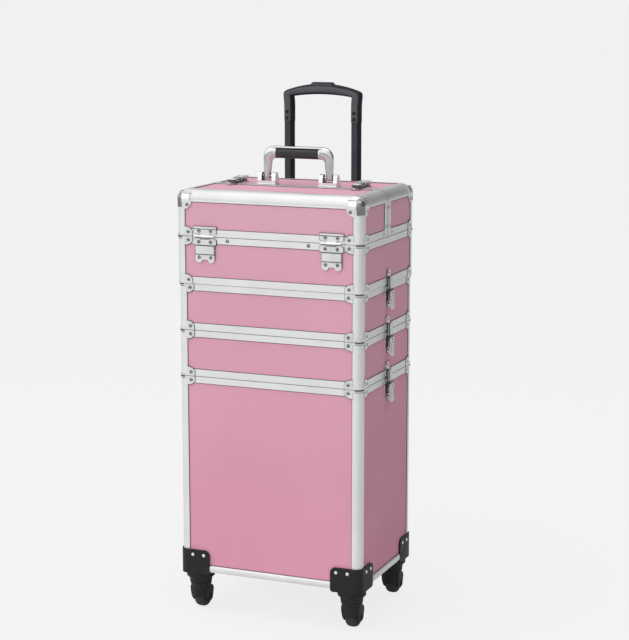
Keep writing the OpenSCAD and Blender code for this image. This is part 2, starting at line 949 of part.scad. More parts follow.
module rear_lid_frame() {
    color(alu)
        on_rear_lid()
            lid_frame(rear_depth);
}

module rear_lid_fittings() {
    color(nickel) {
        on_rear_lid() {
            lid_corners();
            stile_rivets(rear_depth);
        }
        for (s = [-1, 1]) {
            on_rear(s * hinge_x)
                hinge_upper_leaf();
            on_lid_top(s)
                latch_base(strip_w + split_gap);
        }
    }
}

module handle_brackets() {
    color(chrome)
        for (s = [-1, 1])
            translate([s * handle_leg_x, handle_y, lid_top]) {
                half = handle_leg / 2 + handle_ear_gap + handle_ear_t;
                span(-half - 1, half + 1, -handle_block_d / 2 - 1, handle_block_d / 2 + 1, 0, 1.2);
                span(-half - 1, half + 1, split_y + split_gap + strip_w - handle_y, handle_block_d / 2 + 1,
                    -skin_t, 0);
                span(-half, half, -handle_block_d / 2, handle_block_d / 2, 0, handle_block_h);
                for (t = [-1, 1]) {
                    ear_x = t * (half - handle_ear_t / 2) - handle_ear_t / 2;
                    translate([ear_x, 0, 0])
                        rotate([90, 0, 90])
                            linear_extrude(handle_ear_t) {
                                polygon([[-handle_block_d / 2, 0], [handle_block_d / 2, 0],
                                    [handle_ear_r, handle_pin_up], [-handle_ear_r, handle_pin_up]]);
                                translate([0, handle_pin_up])
                                    circle(r = handle_ear_r);
                            }
                }
                translate([0, 0, handle_pin_up])
                    bar_x(handle_pin_r, -half - 0.8, half + 0.8);
            }
}

module rear_tray() {
    color(lining)
        mirror([0, 1, 0]) {
            inner_tray();
            tray_arms(drive_y);
            tray_arms(guide_y);
        }
}

// Front half lid
module front_lid_panels() {
    color(pink)
        on_front_lid()
            lid_panels(front_depth);
}

module front_lid_frame() {
    color(alu)
        on_front_lid()
            lid_frame(front_depth);
}

module front_lid_corner_caps() {
    color(chrome)
        on_front_lid() {
            lid_corners();
            stile_rivets(front_depth);
        }
}

module front_lid_hinge_leaves() {
    color(nickel)
        for (s = [-1, 1])
            on_front(s * hinge_x)
                hinge_upper_leaf();
}

module front_lid_latch_catches() {
    color(nickel)
        for (s = [-1, 1])
            on_lid_top(s)
                latch_catch(0, strip_w + split_gap);
}

// Front inner tray on its arms
module front_tray() {
    color(lining)
        inner_tray();
}

module front_tray_drive_arms() {
    color(nickel)
        tray_arms(drive_y);
}

module front_tray_guide_arms() {
    color(nickel)
        tray_arms(guide_y);
}

// Carry handle: two legs and an arched bar
module carry_handle() {
    rise = handle_h - handle_pin_up;
    under = rise - handle_bar - handle_grip_h;
    color(chrome)
        translate([0, handle_y, handle_pin_z])
            difference() {
                union() {
                    translate([0, handle_thick / 2, 0])
                        rotate([90, 0, 0])
                            linear_extrude(handle_thick)
                                difference() {
                                    union() {
                                        translate([-handle_w / 2, 0])
                                            square([handle_w, rise - handle_r]);
                                        translate([0, rise / 2])
                                            rounded_square(handle_w, rise, handle_r);
                                    }
                                    translate([0, under / 2 - handle_r])
                                        rounded_square(handle_w - 2 * handle_leg, under + 2 * handle_r, handle_inner_r);
                                    translate([-handle_grip_w / 2, under - handle_inner_r])
                                        square([handle_grip_w, handle_grip_h + handle_inner_r]);
                                }
                    for (s = [-1, 1])
                        translate([s * handle_leg_x, 0, 0])
                            bar_x(handle_thick / 2, -handle_leg / 2, handle_leg / 2);
                }
                bar_x(handle_pin_r + pin_gap, -handle_w, handle_w);
            }
}

module carry_handle_grip() {
    grip_t = 17;
    color(black)
        translate([-handle_grip_w / 2, handle_y, lid_top + handle_h - handle_bar - handle_grip_h / 2])
            rotate([90, 0, 90])
                linear_extrude(handle_grip_w)
                    rounded_square(grip_t, handle_grip_h, 6);
}

// Moving stages of the trolley handle
module trolley_middle_tubes() {
    color(black)
        tube(mid_w, mid_d, mid_z0, mid_z1);
}

module trolley_inner_tubes() {
    color(black)
        tube(tube_w, tube_d, in_z0, in_z1);
}

// What is cut away beside an arm of the trolley grip
module grip_flank(rise) {
    arm = grip_half - grip_flare;
    polygon([[arm, -1], [arm, rise - 44], [grip_half, rise - 20], [grip_half + 1, rise - 20], [grip_half + 1, -1]]);
}

module trolley_grip() {
    rise = grip_top - grip_leg_z;
    color(black)
        translate([trolley_x, trolley_y, grip_leg_z])
            difference() {
                translate([0, grip_d / 2, 0])
                    rotate([90, 0, 0])
                        linear_extrude(grip_d)
                            difference() {
                                intersection() {
                                    translate([-grip_half, 0])
                                        square([2 * grip_half, rise]);
                                    translate([0, rise - grip_arch_r])
                                        circle(r = grip_arch_r, $fn = 144);
                                }
                                intersection() {
                                    translate([-window_half, -1])
                                        square([2 * window_half, rise]);
                                    translate([0, rise - grip_bar - window_r])
                                        circle(r = window_r, $fn = 144);
                                }
                                for (s = [0, 1])
                                    mirror([s, 0])
                                        grip_flank(rise);
                            }
                for (s = [-1, 1])
                    translate([s * trolley_pitch / 2, 0, -1])
                        linear_extrude(in_z1 - grip_leg_z + 1)
                            square([tube_w, tube_d], center = true);
                translate([0, 0, rise + button_up - button_h - button_pocket])
                    linear_extrude(button_h + 10)
                        square([button_w + 2 * button_gap, button_d + 2 * button_gap], center = true);
            }
}

module trolley_button() {
    color(black)
        translate([trolley_x, trolley_y, grip_top + button_up - button_h])
            linear_extrude(button_h)
                rounded_square(button_w, button_d, 5);
}

// Side outline of the hooded fork, y trailing, z up
module fork_profile() {
    polygon([[-15, fork_top], [15, fork_top], [caster_trail + 10.5, fork_top - 9], [caster_trail + hub_r, wheel_r],
        [caster_trail - hub_r, wheel_r], [caster_trail - wheel_r - fork_web + 1, wheel_r + 4],
        [caster_trail - wheel_r - fork_web, fork_top - 10]]);
    translate([caster_trail, wheel_r])
        circle(r = hub_r);
}

// Front outline of the fork, narrower towards the wheel
module fork_front() {
    polygon([[-fork_top_half, fork_top], [fork_top_half, fork_top], [fork_half + 0.4, wheel_r + 11],
        [fork_foot_half, wheel_r - 11], [-fork_foot_half, wheel_r - 11], [-fork_half - 0.4, wheel_r + 11]]);
}

// Casters: fork with stem and axle, wheel on the axle
module caster_fork(sx, sy) {
    color(black)
        translate([sx * (case_w / 2 - caster_inset), sy * (case_d / 2 - caster_inset), 0]) {
            translate([0, 0, fork_top - tiny])
                cylinder(r = stem_r, h = 14);
            difference() {
                union() {
                    translate([0, 0, fork_top - 7])
                        cylinder(r = fork_r, h = 7);
                    intersection() {
                        translate([-fork_top_half, 0, 0])
                            rotate([90, 0, 90])
                                linear_extrude(2 * fork_top_half)
                                    fork_profile();
                        translate([0, 40, 0])
                            rotate([90, 0, 0])
                                linear_extrude(80)
                                    fork_front();
                    }
                }
                translate([0, caster_trail, wheel_r])
                    bar_x(wheel_r + 1.5, -fork_leg_in, fork_leg_in);
                span(-fork_leg_in, fork_leg_in, caster_trail - wheel_r - 1.5, caster_trail + wheel_r + 10,
                    -1, wheel_r);
            }
            translate([0, caster_trail, wheel_r])
                bar_x(axle_r, -fork_half - 1, fork_half + 1);
        }
}

module caster_wheel(sx, sy) {
    half = wheel_w / 2;
    color(tyre_black)
        translate([sx * (case_w / 2 - caster_inset), sy * (case_d / 2 - caster_inset) + caster_trail, wheel_r])
            rotate([0, 90, 0])
                rotate_extrude()
                    polygon([[axle_r + pin_gap, -half], [wheel_r - 9, -half], [wheel_r - 8, 1.5 - half],
                        [wheel_r - 6, -half + 0.5], [wheel_r - 3, -half + 1.5], [wheel_r - 1, -half + 4],
                        [wheel_r, -half + 8], [wheel_r, half - 8], [wheel_r - 1, half - 4], [wheel_r - 3, half - 1.5],
                        [wheel_r - 6, half - 0.5], [wheel_r - 8, half - 1.5], [wheel_r - 9, half],
                        [axle_r + pin_gap, half]]);
}

module caster_fork_front_left() {
    caster_fork(-1, -1);
}

module caster_fork_front_right() {
    caster_fork(1, -1);
}

module caster_fork_rear_left() {
    caster_fork(-1, 1);
}

module caster_fork_rear_right() {
    caster_fork(1, 1);
}

module caster_wheel_front_left() {
    caster_wheel(-1, -1);
}

module caster_wheel_front_right() {
    caster_wheel(1, -1);
}

module caster_wheel_rear_left() {
    caster_wheel(-1, 1);
}

module caster_wheel_rear_right() {
    caster_wheel(1, 1);
}

// Draw latches: a lever and a hook at each tier seam on both sides, and two on the lid
module side_lever(side, z) {
    color(nickel)
        on_side(side, z)
            latch_lever();
}

module side_hook(side, z) {
    color(nickel)
        on_side(side, z)
            latch_hook();
}

module lid_lever(side) {
    color(nickel)
        on_lid_top(side)
            latch_lever();
}

module lid_hook(side) {
    color(nickel)
        on_lid_top(side)
            latch_hook();
}

module latch_lever_left_1() {
    side_lever(-1, seam_1);
}

module latch_lever_left_2() {
    side_lever(-1, seam_2);
}

module latch_lever_left_3() {
    side_lever(-1, seam_3);
}

module latch_lever_right_1() {
    side_lever(1, seam_1);
}

module latch_lever_right_2() {
    side_lever(1, seam_2);
}

module latch_lever_right_3() {
    side_lever(1, seam_3);
}

module latch_lever_lid_left() {
    lid_lever(-1);
}

module latch_lever_lid_right() {
    lid_lever(1);
}

module latch_hook_left_1() {
    side_hook(-1, seam_1);
}

module latch_hook_left_2() {
    side_hook(-1, seam_2);
}

module latch_hook_left_3() {
    side_hook(-1, seam_3);
}

module latch_hook_right_1() {
    side_hook(1, seam_1);
}

module latch_hook_right_2() {
    side_hook(1, seam_2);
}

module latch_hook_right_3() {
    side_hook(1, seam_3);
}

module latch_hook_lid_left() {
    lid_hook(-1);
}

module latch_hook_lid_right() {
    lid_hook(1);
}

base_panels();
base_frame();
base_fittings();
caster_corner_mounts();
trolley_outer_tubes();
trolley_brackets();
tray_3_panels();
tray_3_frame();
tray_3_fittings();
tray_2_panels();
tray_2_frame();
tray_2_fittings();
top_case_panels();
top_case_frame();
top_case_fittings();
lid_hinge_body_leaves();
rear_lid_panels();
rear_lid_frame();
rear_lid_fittings();
handle_brackets();
rear_tray();
front_lid_panels();
front_lid_frame();
front_lid_corner_caps();
front_lid_hinge_leaves();
front_lid_latch_catches();
front_tray();
front_tray_drive_arms();
front_tray_guide_arms();
carry_handle();
carry_handle_grip();
trolley_middle_tubes();
trolley_inner_tubes();
trolley_grip();
trolley_button();
caster_fork_front_left();
caster_fork_front_right();
caster_fork_rear_left();
caster_fork_rear_right();
caster_wheel_front_left();
caster_wheel_front_right();
caster_wheel_rear_left();
caster_wheel_rear_right();
latch_lever_left_1();
latch_lever_left_2();
latch_lever_left_3();
latch_lever_right_1();
latch_lever_right_2();
latch_lever_right_3();
latch_lever_lid_left();
latch_lever_lid_right();
latch_hook_left_1();
latch_hook_left_2();
latch_hook_left_3();
latch_hook_right_1();
latch_hook_right_2();
latch_hook_right_3();
latch_hook_lid_left();
latch_hook_lid_right();
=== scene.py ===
import json
import math

import bmesh
import bpy
from mathutils import Matrix, Vector

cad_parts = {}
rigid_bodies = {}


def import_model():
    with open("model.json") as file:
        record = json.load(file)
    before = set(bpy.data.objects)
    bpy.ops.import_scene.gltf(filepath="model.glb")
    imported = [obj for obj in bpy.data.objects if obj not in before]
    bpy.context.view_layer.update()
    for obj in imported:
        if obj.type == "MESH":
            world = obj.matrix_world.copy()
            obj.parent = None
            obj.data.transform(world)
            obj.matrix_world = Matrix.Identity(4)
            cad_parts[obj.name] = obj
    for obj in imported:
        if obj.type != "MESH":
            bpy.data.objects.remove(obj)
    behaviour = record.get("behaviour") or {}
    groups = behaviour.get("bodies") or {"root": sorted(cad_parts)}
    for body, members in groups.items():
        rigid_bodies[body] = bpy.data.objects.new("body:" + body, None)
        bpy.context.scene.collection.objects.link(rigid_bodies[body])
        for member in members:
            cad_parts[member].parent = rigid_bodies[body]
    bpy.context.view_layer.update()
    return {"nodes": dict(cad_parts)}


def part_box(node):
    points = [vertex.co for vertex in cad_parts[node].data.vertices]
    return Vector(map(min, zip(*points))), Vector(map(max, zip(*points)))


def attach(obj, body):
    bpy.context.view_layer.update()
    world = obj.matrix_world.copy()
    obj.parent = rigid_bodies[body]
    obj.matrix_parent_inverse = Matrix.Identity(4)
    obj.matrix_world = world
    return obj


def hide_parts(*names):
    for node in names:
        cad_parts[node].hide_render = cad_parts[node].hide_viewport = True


for old in list(bpy.data.objects):
    bpy.data.objects.remove(old)
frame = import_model()
nodes = frame["nodes"]

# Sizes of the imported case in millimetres
MM = 0.001
CASE = (340.0, 250.0)
TOP = (343.0, 253.0)
LIFT = 75.0
SEAMS = (428.5, 510.0, 591.5)
LID_Z = 674.5
LID_TOP = 754.5
LID_EDGE = 18.0
POST_R = 11.0
SPLIT = -5.0
HINGE_X = 117.0
HANDLE_Y = 8.0
LEG_X = 58.0
GRIP_X = -9.5
GRIP_Y = 143.0
TUBE_X = 65.0
TUBES = (GRIP_X - TUBE_X, GRIP_X + TUBE_X)

# Corners as side in x, side in y and turn, with local axes that point inward, then outward
CORNERS = ((-1, -1, 0), (1, -1, 90), (1, 1, 180), (-1, 1, 270))
OUTWARD = ((1, 1, 0), (-1, 1, 90), (-1, -1, 180), (1, -1, 270))
LID_HALVES = (("front_lid", CORNERS[:2]), ("top_case", CORNERS[2:]))

# Each tier's outline, bottom and top
TIERS = {"base": (CASE, LIFT, SEAMS[0]), "tray_3": (CASE, SEAMS[0], SEAMS[1]),
         "tray_2": (CASE, SEAMS[1], SEAMS[2]), "top_case": (TOP, SEAMS[2], LID_Z)}
FRAMED = (*TIERS, "front_lid")


# Materials
class Look:
    """A procedural material built by short calls."""

    def __init__(self, name):
        self.mat = bpy.data.materials.new(name)
        self.mat.use_nodes = True
        self.tree = self.mat.node_tree
        self.shader = self.tree.nodes["Principled BSDF"]
        self.co = self.add("TexCoord").outputs["Object"]

    def add(self, kind, inputs=None, **props):
        made = self.tree.nodes.new("ShaderNode" + kind)
        for key, value in props.items():
            setattr(made, key, value)
        for key, value in (inputs or {}).items():
            self.put(made.inputs[key], value)
        return made

    def put(self, socket, value):
        if isinstance(value, bpy.types.NodeSocket):
            self.tree.links.new(value, socket)
        else:
            socket.default_value = value

    def material(self, **sockets):
        """Sets inputs of the shader, and gives the material."""
        for key, value in sockets.items():
            self.put(self.shader.inputs[key.replace("_", " ")], value)
        return self.mat

    def stretch(self, scale):
        return self.add("Mapping", {"Vector": self.co, "Scale": scale}).outputs["Vector"]

    def noise(self, scale, detail=2.0, rough=0.5, co=None):
        return self.add("TexNoise", {"Vector": co or self.co, "Scale": scale, "Detail": detail,
                                     "Roughness": rough}).outputs["Fac"]

    def cells(self, scale, loose=1.0):
        return self.add("TexVoronoi", {"Vector": self.co, "Scale": scale, "Randomness": loose},
                        feature="SMOOTH_F1").outputs["Distance"]

    def shades(self, fac, low, high, a=0.3, b=0.7):
        made = self.add("ValToRGB", {"Fac": fac})
        ends = made.color_ramp.elements
        ends[0].position, ends[0].color = a, (*low, 1.0)
        ends[1].position, ends[1].color = b, (*high, 1.0)
        return made.outputs["Color"]

    def scale(self, fac, low, high, a=0.3, b=0.7):
        return self.add("MapRange", {"Value": fac, "From Min": a, "From Max": b, "To Min": low,
                                     "To Max": high}).outputs["Result"]

    def sum(self, a, b, weight):
        part = self.add("Math", {0: b, 1: weight}, operation="MULTIPLY").outputs[0]
        return self.add("Math", {0: a, 1: part}, operation="ADD").outputs[0]

    def blend(self, fac, a, b):
        """A colour Mix node, whose colour sockets have no names of their own."""
        factor, colour_a, colour_b, mixed = 0, 6, 7, 2
        return self.add("Mix", {factor: fac, colour_a: a, colour_b: b}, data_type="RGBA").outputs[mixed]

    def bump(self, height, strength, distance):
        made = self.add("Bump", {"Height": height, "Strength": strength, "Distance": distance})
        return made.outputs["Normal"]


def pink_sheet():
    """Embossed sheet, a little paler towards the top of the case, a painted sheen."""
    look = Look("pink_embossed_sheet")
    broad = look.noise(5.0, detail=4.0)
    grain = look.sum(look.cells(620.0, loose=0.3), look.noise(2400.0, detail=3.0), weight=0.35)
    # Painted sheen: the colour turns paler with height
    height = look.add("SeparateXYZ", {"Vector": look.co}).outputs["Z"]
    colour = look.blend(look.scale(height, 0.0, 1.0, a=0.10, b=0.76),
                        look.shades(broad, (0.700, 0.318, 0.418), (0.742, 0.350, 0.452)),
                        look.shades(broad, (0.706, 0.384, 0.488), (0.748, 0.418, 0.524)))
    return look.material(Base_Color=colour,
                         Roughness=look.scale(look.noise(900.0, detail=3.0), 0.46, 0.60),
                         Normal=look.bump(grain, strength=0.35, distance=0.00012),
                         Specular_IOR_Level=0.01)


def aluminium(axis, name="satin_aluminium_", low=(0.785, 0.790, 0.795), high=(0.845, 0.848, 0.852)):
    """Brushed along one axis."""
    look = Look(name + "xyz"[axis])
    across, along = 900.0, 9.0
    lines = look.noise(1.0, detail=3.0, rough=0.6,
                       co=look.stretch([along if i == axis else across for i in range(3)]))
    broad = look.noise(18.0, detail=3.0)
    return look.material(Base_Color=look.shades(broad, low, high),
                         Metallic=0.75,
                         Roughness=look.scale(look.sum(lines, broad, weight=0.4), 0.42, 0.56, a=0.45, b=0.95),
                         Normal=look.bump(lines, strength=0.10, distance=0.00008))


def plated(name, low, high, rough_low, rough_high, metallic=1.0):
    look = Look(name)
    haze = look.noise(60.0, detail=4.0, rough=0.6)
    pits = look.noise(1600.0)
    return look.material(Base_Color=look.shades(haze, low, high),
                         Metallic=metallic,
                         Roughness=look.scale(haze, rough_low, rough_high),
                         Normal=look.bump(pits, strength=0.04, distance=0.00005))


def moulded(name, low, high, rough_low, rough_high, grain_scale, grain_depth, sheen=0.5):
    look = Look(name)
    broad = look.noise(40.0, detail=4.0)
    grain = look.sum(look.cells(grain_scale), look.noise(grain_scale * 3.0), weight=0.5)
    return look.material(Base_Color=look.shades(broad, low, high),
                         Roughness=look.scale(broad, rough_low, rough_high),
                         Normal=look.bump(grain, strength=0.4, distance=grain_depth),
                         Specular_IOR_Level=sheen)


def felt():
    look = Look("black_lining")
    fibres = look.sum(look.noise(700.0, detail=5.0, rough=0.7), look.noise(2600.0), weight=0.6)
    colour = look.shades(fibres, (0.012, 0.012, 0.013), (0.034, 0.033, 0.036), a=0.5, b=1.1)
    return look.material(Base_Color=colour,
                         Roughness=0.92,
                         Normal=look.bump(fibres, strength=0.7, distance=0.0004),
                         Sheen_Weight=0.25)


PINK = pink_sheet()
ALU = [aluminium(i) for i in range(3)]
# A darker copy of the aluminium for the lid's rounded edges, painted shade
EDGE = [aluminium(i, "lid_edge_aluminium_", (0.670, 0.675, 0.680), (0.725, 0.730, 0.735)) for i in range(3)]
NICKEL = plated("bright_nickel", (0.76, 0.765, 0.77), (0.84, 0.842, 0.845), 0.26, 0.38, 0.82)
SATIN = plated("satin_steel", (0.70, 0.705, 0.71), (0.80, 0.803, 0.806), 0.40, 0.52, 0.35)
CHROME = plated("polished_chrome", (0.60, 0.61, 0.62), (0.70, 0.705, 0.71), 0.06, 0.13)
# A darker chrome: painted dark reflection on the sleeves of the lid's corner caps and painted shade in the
# line by their beads
REFLECTION_AND_SHADE_CHROME = plated("chrome_painted_reflection_and_shade", (0.27, 0.275, 0.28), (0.36, 0.366, 0.372), 0.10, 0.18)
BLACK = moulded("moulded_black", (0.008, 0.008, 0.009), (0.014, 0.014, 0.016), 0.44, 0.58,
                1100.0, 0.00012, sheen=0.3)
# Lit and shaded copies of the trolley's black: the lighter one is a painted highlight on the bow's front and
# back, the darker one painted shade on the narrow sides of the tubes and on the bow's top, underside and
# sides
HANDLE = moulded("trolley_black_painted_highlight", (0.088, 0.091, 0.101), (0.108, 0.111, 0.123), 0.26, 0.34,
                 1400.0, 0.00004, sheen=0.03)
SHADED_TROLLEY = moulded("trolley_painted_shade", (0.032, 0.033, 0.038), (0.041, 0.042, 0.048), 0.30, 0.38,
                    1800.0, 0.00003, sheen=0.0)
GRIP = moulded("soft_grip", (0.012, 0.012, 0.014), (0.020, 0.020, 0.023), 0.32, 0.42, 800.0, 0.00008)
TUBE = moulded("lacquered_tube", (0.056, 0.058, 0.068), (0.070, 0.072, 0.084), 0.30, 0.38,
               2200.0, 0.00003, sheen=0.0)
RUBBER = moulded("wheel_rubber", (0.018, 0.018, 0.019), (0.030, 0.030, 0.031), 0.55, 0.7, 900.0, 0.00015)
TRAY = moulded("tray_plastic", (0.022, 0.022, 0.024), (0.034, 0.034, 0.037), 0.45, 0.58, 700.0, 0.0002)
# Painted shade: dark lines at the edges of the boards, at the seams and at the split of the lid
SHADE_LINE = moulded("painted_shade_lines", (0.090, 0.082, 0.086), (0.130, 0.120, 0.125), 0.6, 0.75,
               1500.0, 0.00008, sheen=0.2)
# Painted shade: a dark metal on the sides of latch parts and catches, in the handle slots, under the hinge
# knuckles, behind the brackets and hinges, and in the latches
SHADE = plated("painted_shade_steel", (0.060, 0.062, 0.066), (0.130, 0.133, 0.140), 0.22, 0.36, 0.9)
FELT = felt()

# For each slot of the CAD nodes, its material and the width of its rounded edges
SLOTS = {"panel": (PINK, 0.2), "aluminium": (ALU[0], 0.45), "nickel": (NICKEL, 0.3), "chrome": (CHROME, 0.6),
         "black_plastic": (BLACK, 0.8), "grip": (GRIP, 1.2), "trolley_tube": (TUBE, 1.2),
         "wheel_tread": (RUBBER, 0.6), "tray_plastic": (TRAY, 0.6)}
FINISH = {"handle_brackets": NICKEL, "front_lid_corner_caps": NICKEL}


# Finish of the CAD nodes
SHARP_ANGLE = 38.0
FLAT_ANGLE = 0.4
WELD_GAP = 2e-6
STRAIGHT = 0.9
LATCH_SLANT = 0.6
TUBE_SLANT = 0.7


def soften(obj, width):
    """Joins the split edges, then rounds the sharp ones."""
    weld = obj.modifiers.new("join", "WELD")
    weld.merge_threshold = WELD_GAP
    flat = obj.modifiers.new("flat", "DECIMATE")
    flat.decimate_type = "DISSOLVE"
    flat.angle_limit = math.radians(FLAT_ANGLE)
    flat.delimit = {"MATERIAL"}
    edge = obj.modifiers.new("edge", "BEVEL")
    edge.width = width * MM
    edge.segments = 2
    edge.limit_method = "ANGLE"
    edge.angle_limit = math.radians(SHARP_ANGLE)
    edge.harden_normals = True
    edge.use_clamp_overlap = True


def paint_frame(obj):
    """The grain of each profile follows its length, and the lid's rounded edges get a darker copy of the
    aluminium, painted shade that tones down their highlight.
    """
    for m in ALU + EDGE:
        obj.data.materials.append(m)
    for p in obj.data.polygons:
        co = [obj.data.vertices[v].co for v in p.vertices]
        size = [max(c[i] for c in co) - min(c[i] for c in co) for i in range(3)]
        on_edge = "lid" in obj.name and p.center.z / MM > LID_TOP - LID_EDGE
        p.material_index = size.index(max(size)) + (len(ALU) if on_edge else 0)


def paint_board(obj, lid):
    """Pink outside, dark lining inside, and bare metal at the split of the lid."""
    outside, inside, bare = range(3)
    split_gap = 3.0
    for m in (PINK, FELT, ALU[0]):
        obj.data.materials.append(m)
    lo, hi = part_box(obj.name)
    mid = (lo + hi) / 2
    for p in obj.data.polygons:
        if abs(p.normal.z) > STRAIGHT:
            inner = p.normal.z < 0 if lid else p.normal.z > 0
        else:
            out = Vector((p.center.x - mid.x, p.center.y - mid.y, 0.0))
            if lid:
                out.y = p.center.y
            inner = p.normal.dot(out) < 0
        p.material_index = inside if inner else outside
        if lid and abs(p.normal.y) > STRAIGHT and abs(p.center.y / MM - SPLIT) < split_gap:
            p.material_index = bare


def paint(obj, material, chosen):
    """Adds a material on the faces that chosen picks, by the face and its centre in millimetres."""
    index = len(obj.data.materials)
    obj.data.materials.append(material)
    for p in obj.data.polygons:
        if chosen(p, *(c / MM for c in p.center)):
            p.material_index = index


# Sides of the latch parts, which get painted shade
def latch_side(p, x, y, z):
    return abs(p.normal.x) <= LATCH_SLANT


def lid_latch_side(p, x, y, z):
    return abs(p.normal.z) <= LATCH_SLANT


def ear_side(p, x, y, z):
    """Sides of the latch ears and catches among other fittings, which get painted shade."""
    proud, half, slant = 0.6, 10.6, 0.8
    at_side = abs(x) > CASE[0] / 2 + proud and abs(y) < half and abs(p.normal.x) < slant
    at_top = z > LID_TOP + proud and abs(abs(x) - HINGE_X) < half and abs(p.normal.z) < slant
    return at_side or at_top


# Narrow sides of the trolley tubes, which get painted shade
def tube_side(p, x, y, z):
    return abs(p.normal.x) > TUBE_SLANT


def bracket_slot(p, x, y, z):
    """Inside the slots of the handle brackets, which get painted shade."""
    cheek_from, cheek_to, floor_half, foot = 8.0, 12.0, 8.5, 1.5
    off = abs(abs(x) - LEG_X)
    inward = p.normal.x * (abs(x) - LEG_X) * x < 0
    cheek = abs(p.normal.x) > STRAIGHT and cheek_from < off < cheek_to and inward
    return cheek or (p.normal.z > STRAIGHT and off < floor_half and z > LID_TOP + foot)


# Faces under the hinge knuckles, which get painted shade
def under_knuckle(p, x, y, z):
    knuckle_r, proud, slant = 3.2, 1.0, 0.3
    return abs(z - LID_Z) < knuckle_r and abs(y) > TOP[1] / 2 + proud and p.normal.z < -slant


for name, obj in nodes.items():
    slot = obj.data.materials[0].name.split(".")[0]
    material, width = SLOTS[slot]
    for spare in ("custom_normal", "sharp_edge", "sharp_face"):
        if spare in obj.data.attributes:
            obj.data.attributes.remove(obj.data.attributes[spare])
    obj.data.materials.clear()
    if slot == "aluminium":
        paint_frame(obj)
    elif slot == "panel":
        paint_board(obj, "lid" in name)
    else:
        obj.data.materials.append(FINISH.get(name, material))
        for p in obj.data.polygons:
            p.material_index = 0
    # Painted shade on the sides of latch parts and catches, in the handle slots, under the hinge knuckles and
    # on the narrow sides of the trolley tubes
    if name.startswith("latch_"):
        paint(obj, SHADE, lid_latch_side if "lid" in name else latch_side)
    if slot == "trolley_tube":
        paint(obj, SHADED_TROLLEY, tube_side)
    if name == "handle_brackets":
        paint(obj, SHADE, bracket_slot)
    if name.endswith("fittings") or name.endswith("catches"):
        paint(obj, SHADE, ear_side)
    if name.endswith("leaves") or name == "rear_lid_fittings":
        paint(obj, SHADE, under_knuckle)
    soften(obj, width)


# Tools for the added pieces
SMOOTH_ANGLE = 40.0
ON_AXIS = 1e-6
# Material slots of the added pieces: LIGHT is the plain finish, DARK carries painted shade
LIGHT, DARK = 0, 1


def new_piece(name, build, material, body, slot, *args):
    """A mesh piece in millimetres from a build function and its arguments, riding on a body."""
    bm = bmesh.new()
    build(bm, *args)
    bmesh.ops.recalc_face_normals(bm, faces=bm.faces)
    bmesh.ops.scale(bm, vec=(MM, MM, MM), verts=bm.verts)
    mesh = bpy.data.meshes.new(name)
    bm.to_mesh(mesh)
    bm.free()
    obj = bpy.data.objects.new(name, mesh)
    bpy.context.scene.collection.objects.link(obj)
    for m in material if isinstance(material, tuple) else (material,):
        mesh.materials.append(m)
    for p in mesh.polygons:
        p.use_smooth = True
    mesh.set_sharp_from_angle(angle=math.radians(SMOOTH_ANGLE))
    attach(obj, body)
    return obj


def arc(x, y, r, turns, r_y=None):
    """Points at angles in degrees on a circle, or on an ellipse with its own radius in y."""
    angles = [math.radians(a) for a in turns]
    return [(x + r * math.cos(a), y + (r_y or r) * math.sin(a)) for a in angles]


def rounded(x0, y0, x1, y1, r, steps=4):
    """Outline of a rectangle with round corners."""
    points = []
    centres = ((x1 - r, y1 - r, 0), (x0 + r, y1 - r, 90), (x0 + r, y0 + r, 180), (x1 - r, y0 + r, 270))
    for x, y, first in centres:
        points += arc(x, y, r, [first + 90.0 * i / steps for i in range(steps + 1)])
    return points


def squarish(i, sides, power):
    """Point i on a unit oval that is round at power 2 and squarer above."""
    a = 2 * math.pi * i / sides
    return [math.copysign(abs(c) ** (2 / power), c) for c in (math.cos(a), math.sin(a))]


def lathe(bm, profile, place, sides=20, mat=0):
    """A turned shape: profile of (radius, height), axis along the local z of a 4x4."""
    rings = []
    for r, h in profile:
        if r < ON_AXIS:
            rings.append([bm.verts.new(place @ Vector((0, 0, h)))])
        else:
            turns = [2 * math.pi * i / sides for i in range(sides)]
            rings.append([bm.verts.new(place @ Vector((r * math.cos(a), r * math.sin(a), h))) for a in turns])
    for a, b in zip(rings, rings[1:]):
        for i in range(sides):
            j = (i + 1) % sides
            quad = [a[i % len(a)], a[j % len(a)], b[j % len(b)], b[i % len(b)]]
            quad = list(dict.fromkeys(quad))
            if len(quad) > 2:
                bm.faces.new(quad).material_index = mat


def join_rows(bm, a, b):
    """A band of faces between two rows with the same number of points."""
    band = []
    for i in range(len(a)):
        j = (i + 1) % len(a)
        band.append(bm.faces.new((a[i], a[j], b[j], b[i])))
    return band


def loft(bm, rings, mat=0):
    """A skin through rings with the same number of points, closed at both ends."""
    rows = [[bm.verts.new(p) for p in ring] for ring in rings]
    faces = [bm.faces.new(rows[0][::-1]), bm.faces.new(rows[-1])]
    for a, b in zip(rows, rows[1:]):
        faces += join_rows(bm, a, b)
    for f in faces:
        f.material_index = mat


def slab(bm, outline, low, high, place, mat=0):
    """A flat outline in local x and y, drawn out from low to high along local z."""
    loft(bm, [[place @ Vector((x, y, h)) for x, y in outline] for h in (low, high)], mat)


def hoop(bm, outer, inner, low, high, place):
    """A closed frame between two outlines with the same number of points."""
    rows = []
    for outline, h in ((outer, low), (outer, high), (inner, high), (inner, low)):
        rows.append([bm.verts.new(place @ Vector((x, y, h))) for x, y in outline])
    for a, b in zip(rows, rows[1:] + rows[:1]):
        join_rows(bm, a, b)


def plate(bm, spec, place, mat=0, steps=4, x=0.0):
    """A plate round x, as (half width, low and high in y, corner radius, low and high in z)."""
    half, y0, y1, r, low, high = spec
    slab(bm, rounded(x - half, y0, x + half, y1, r, steps), low, high, place, mat)


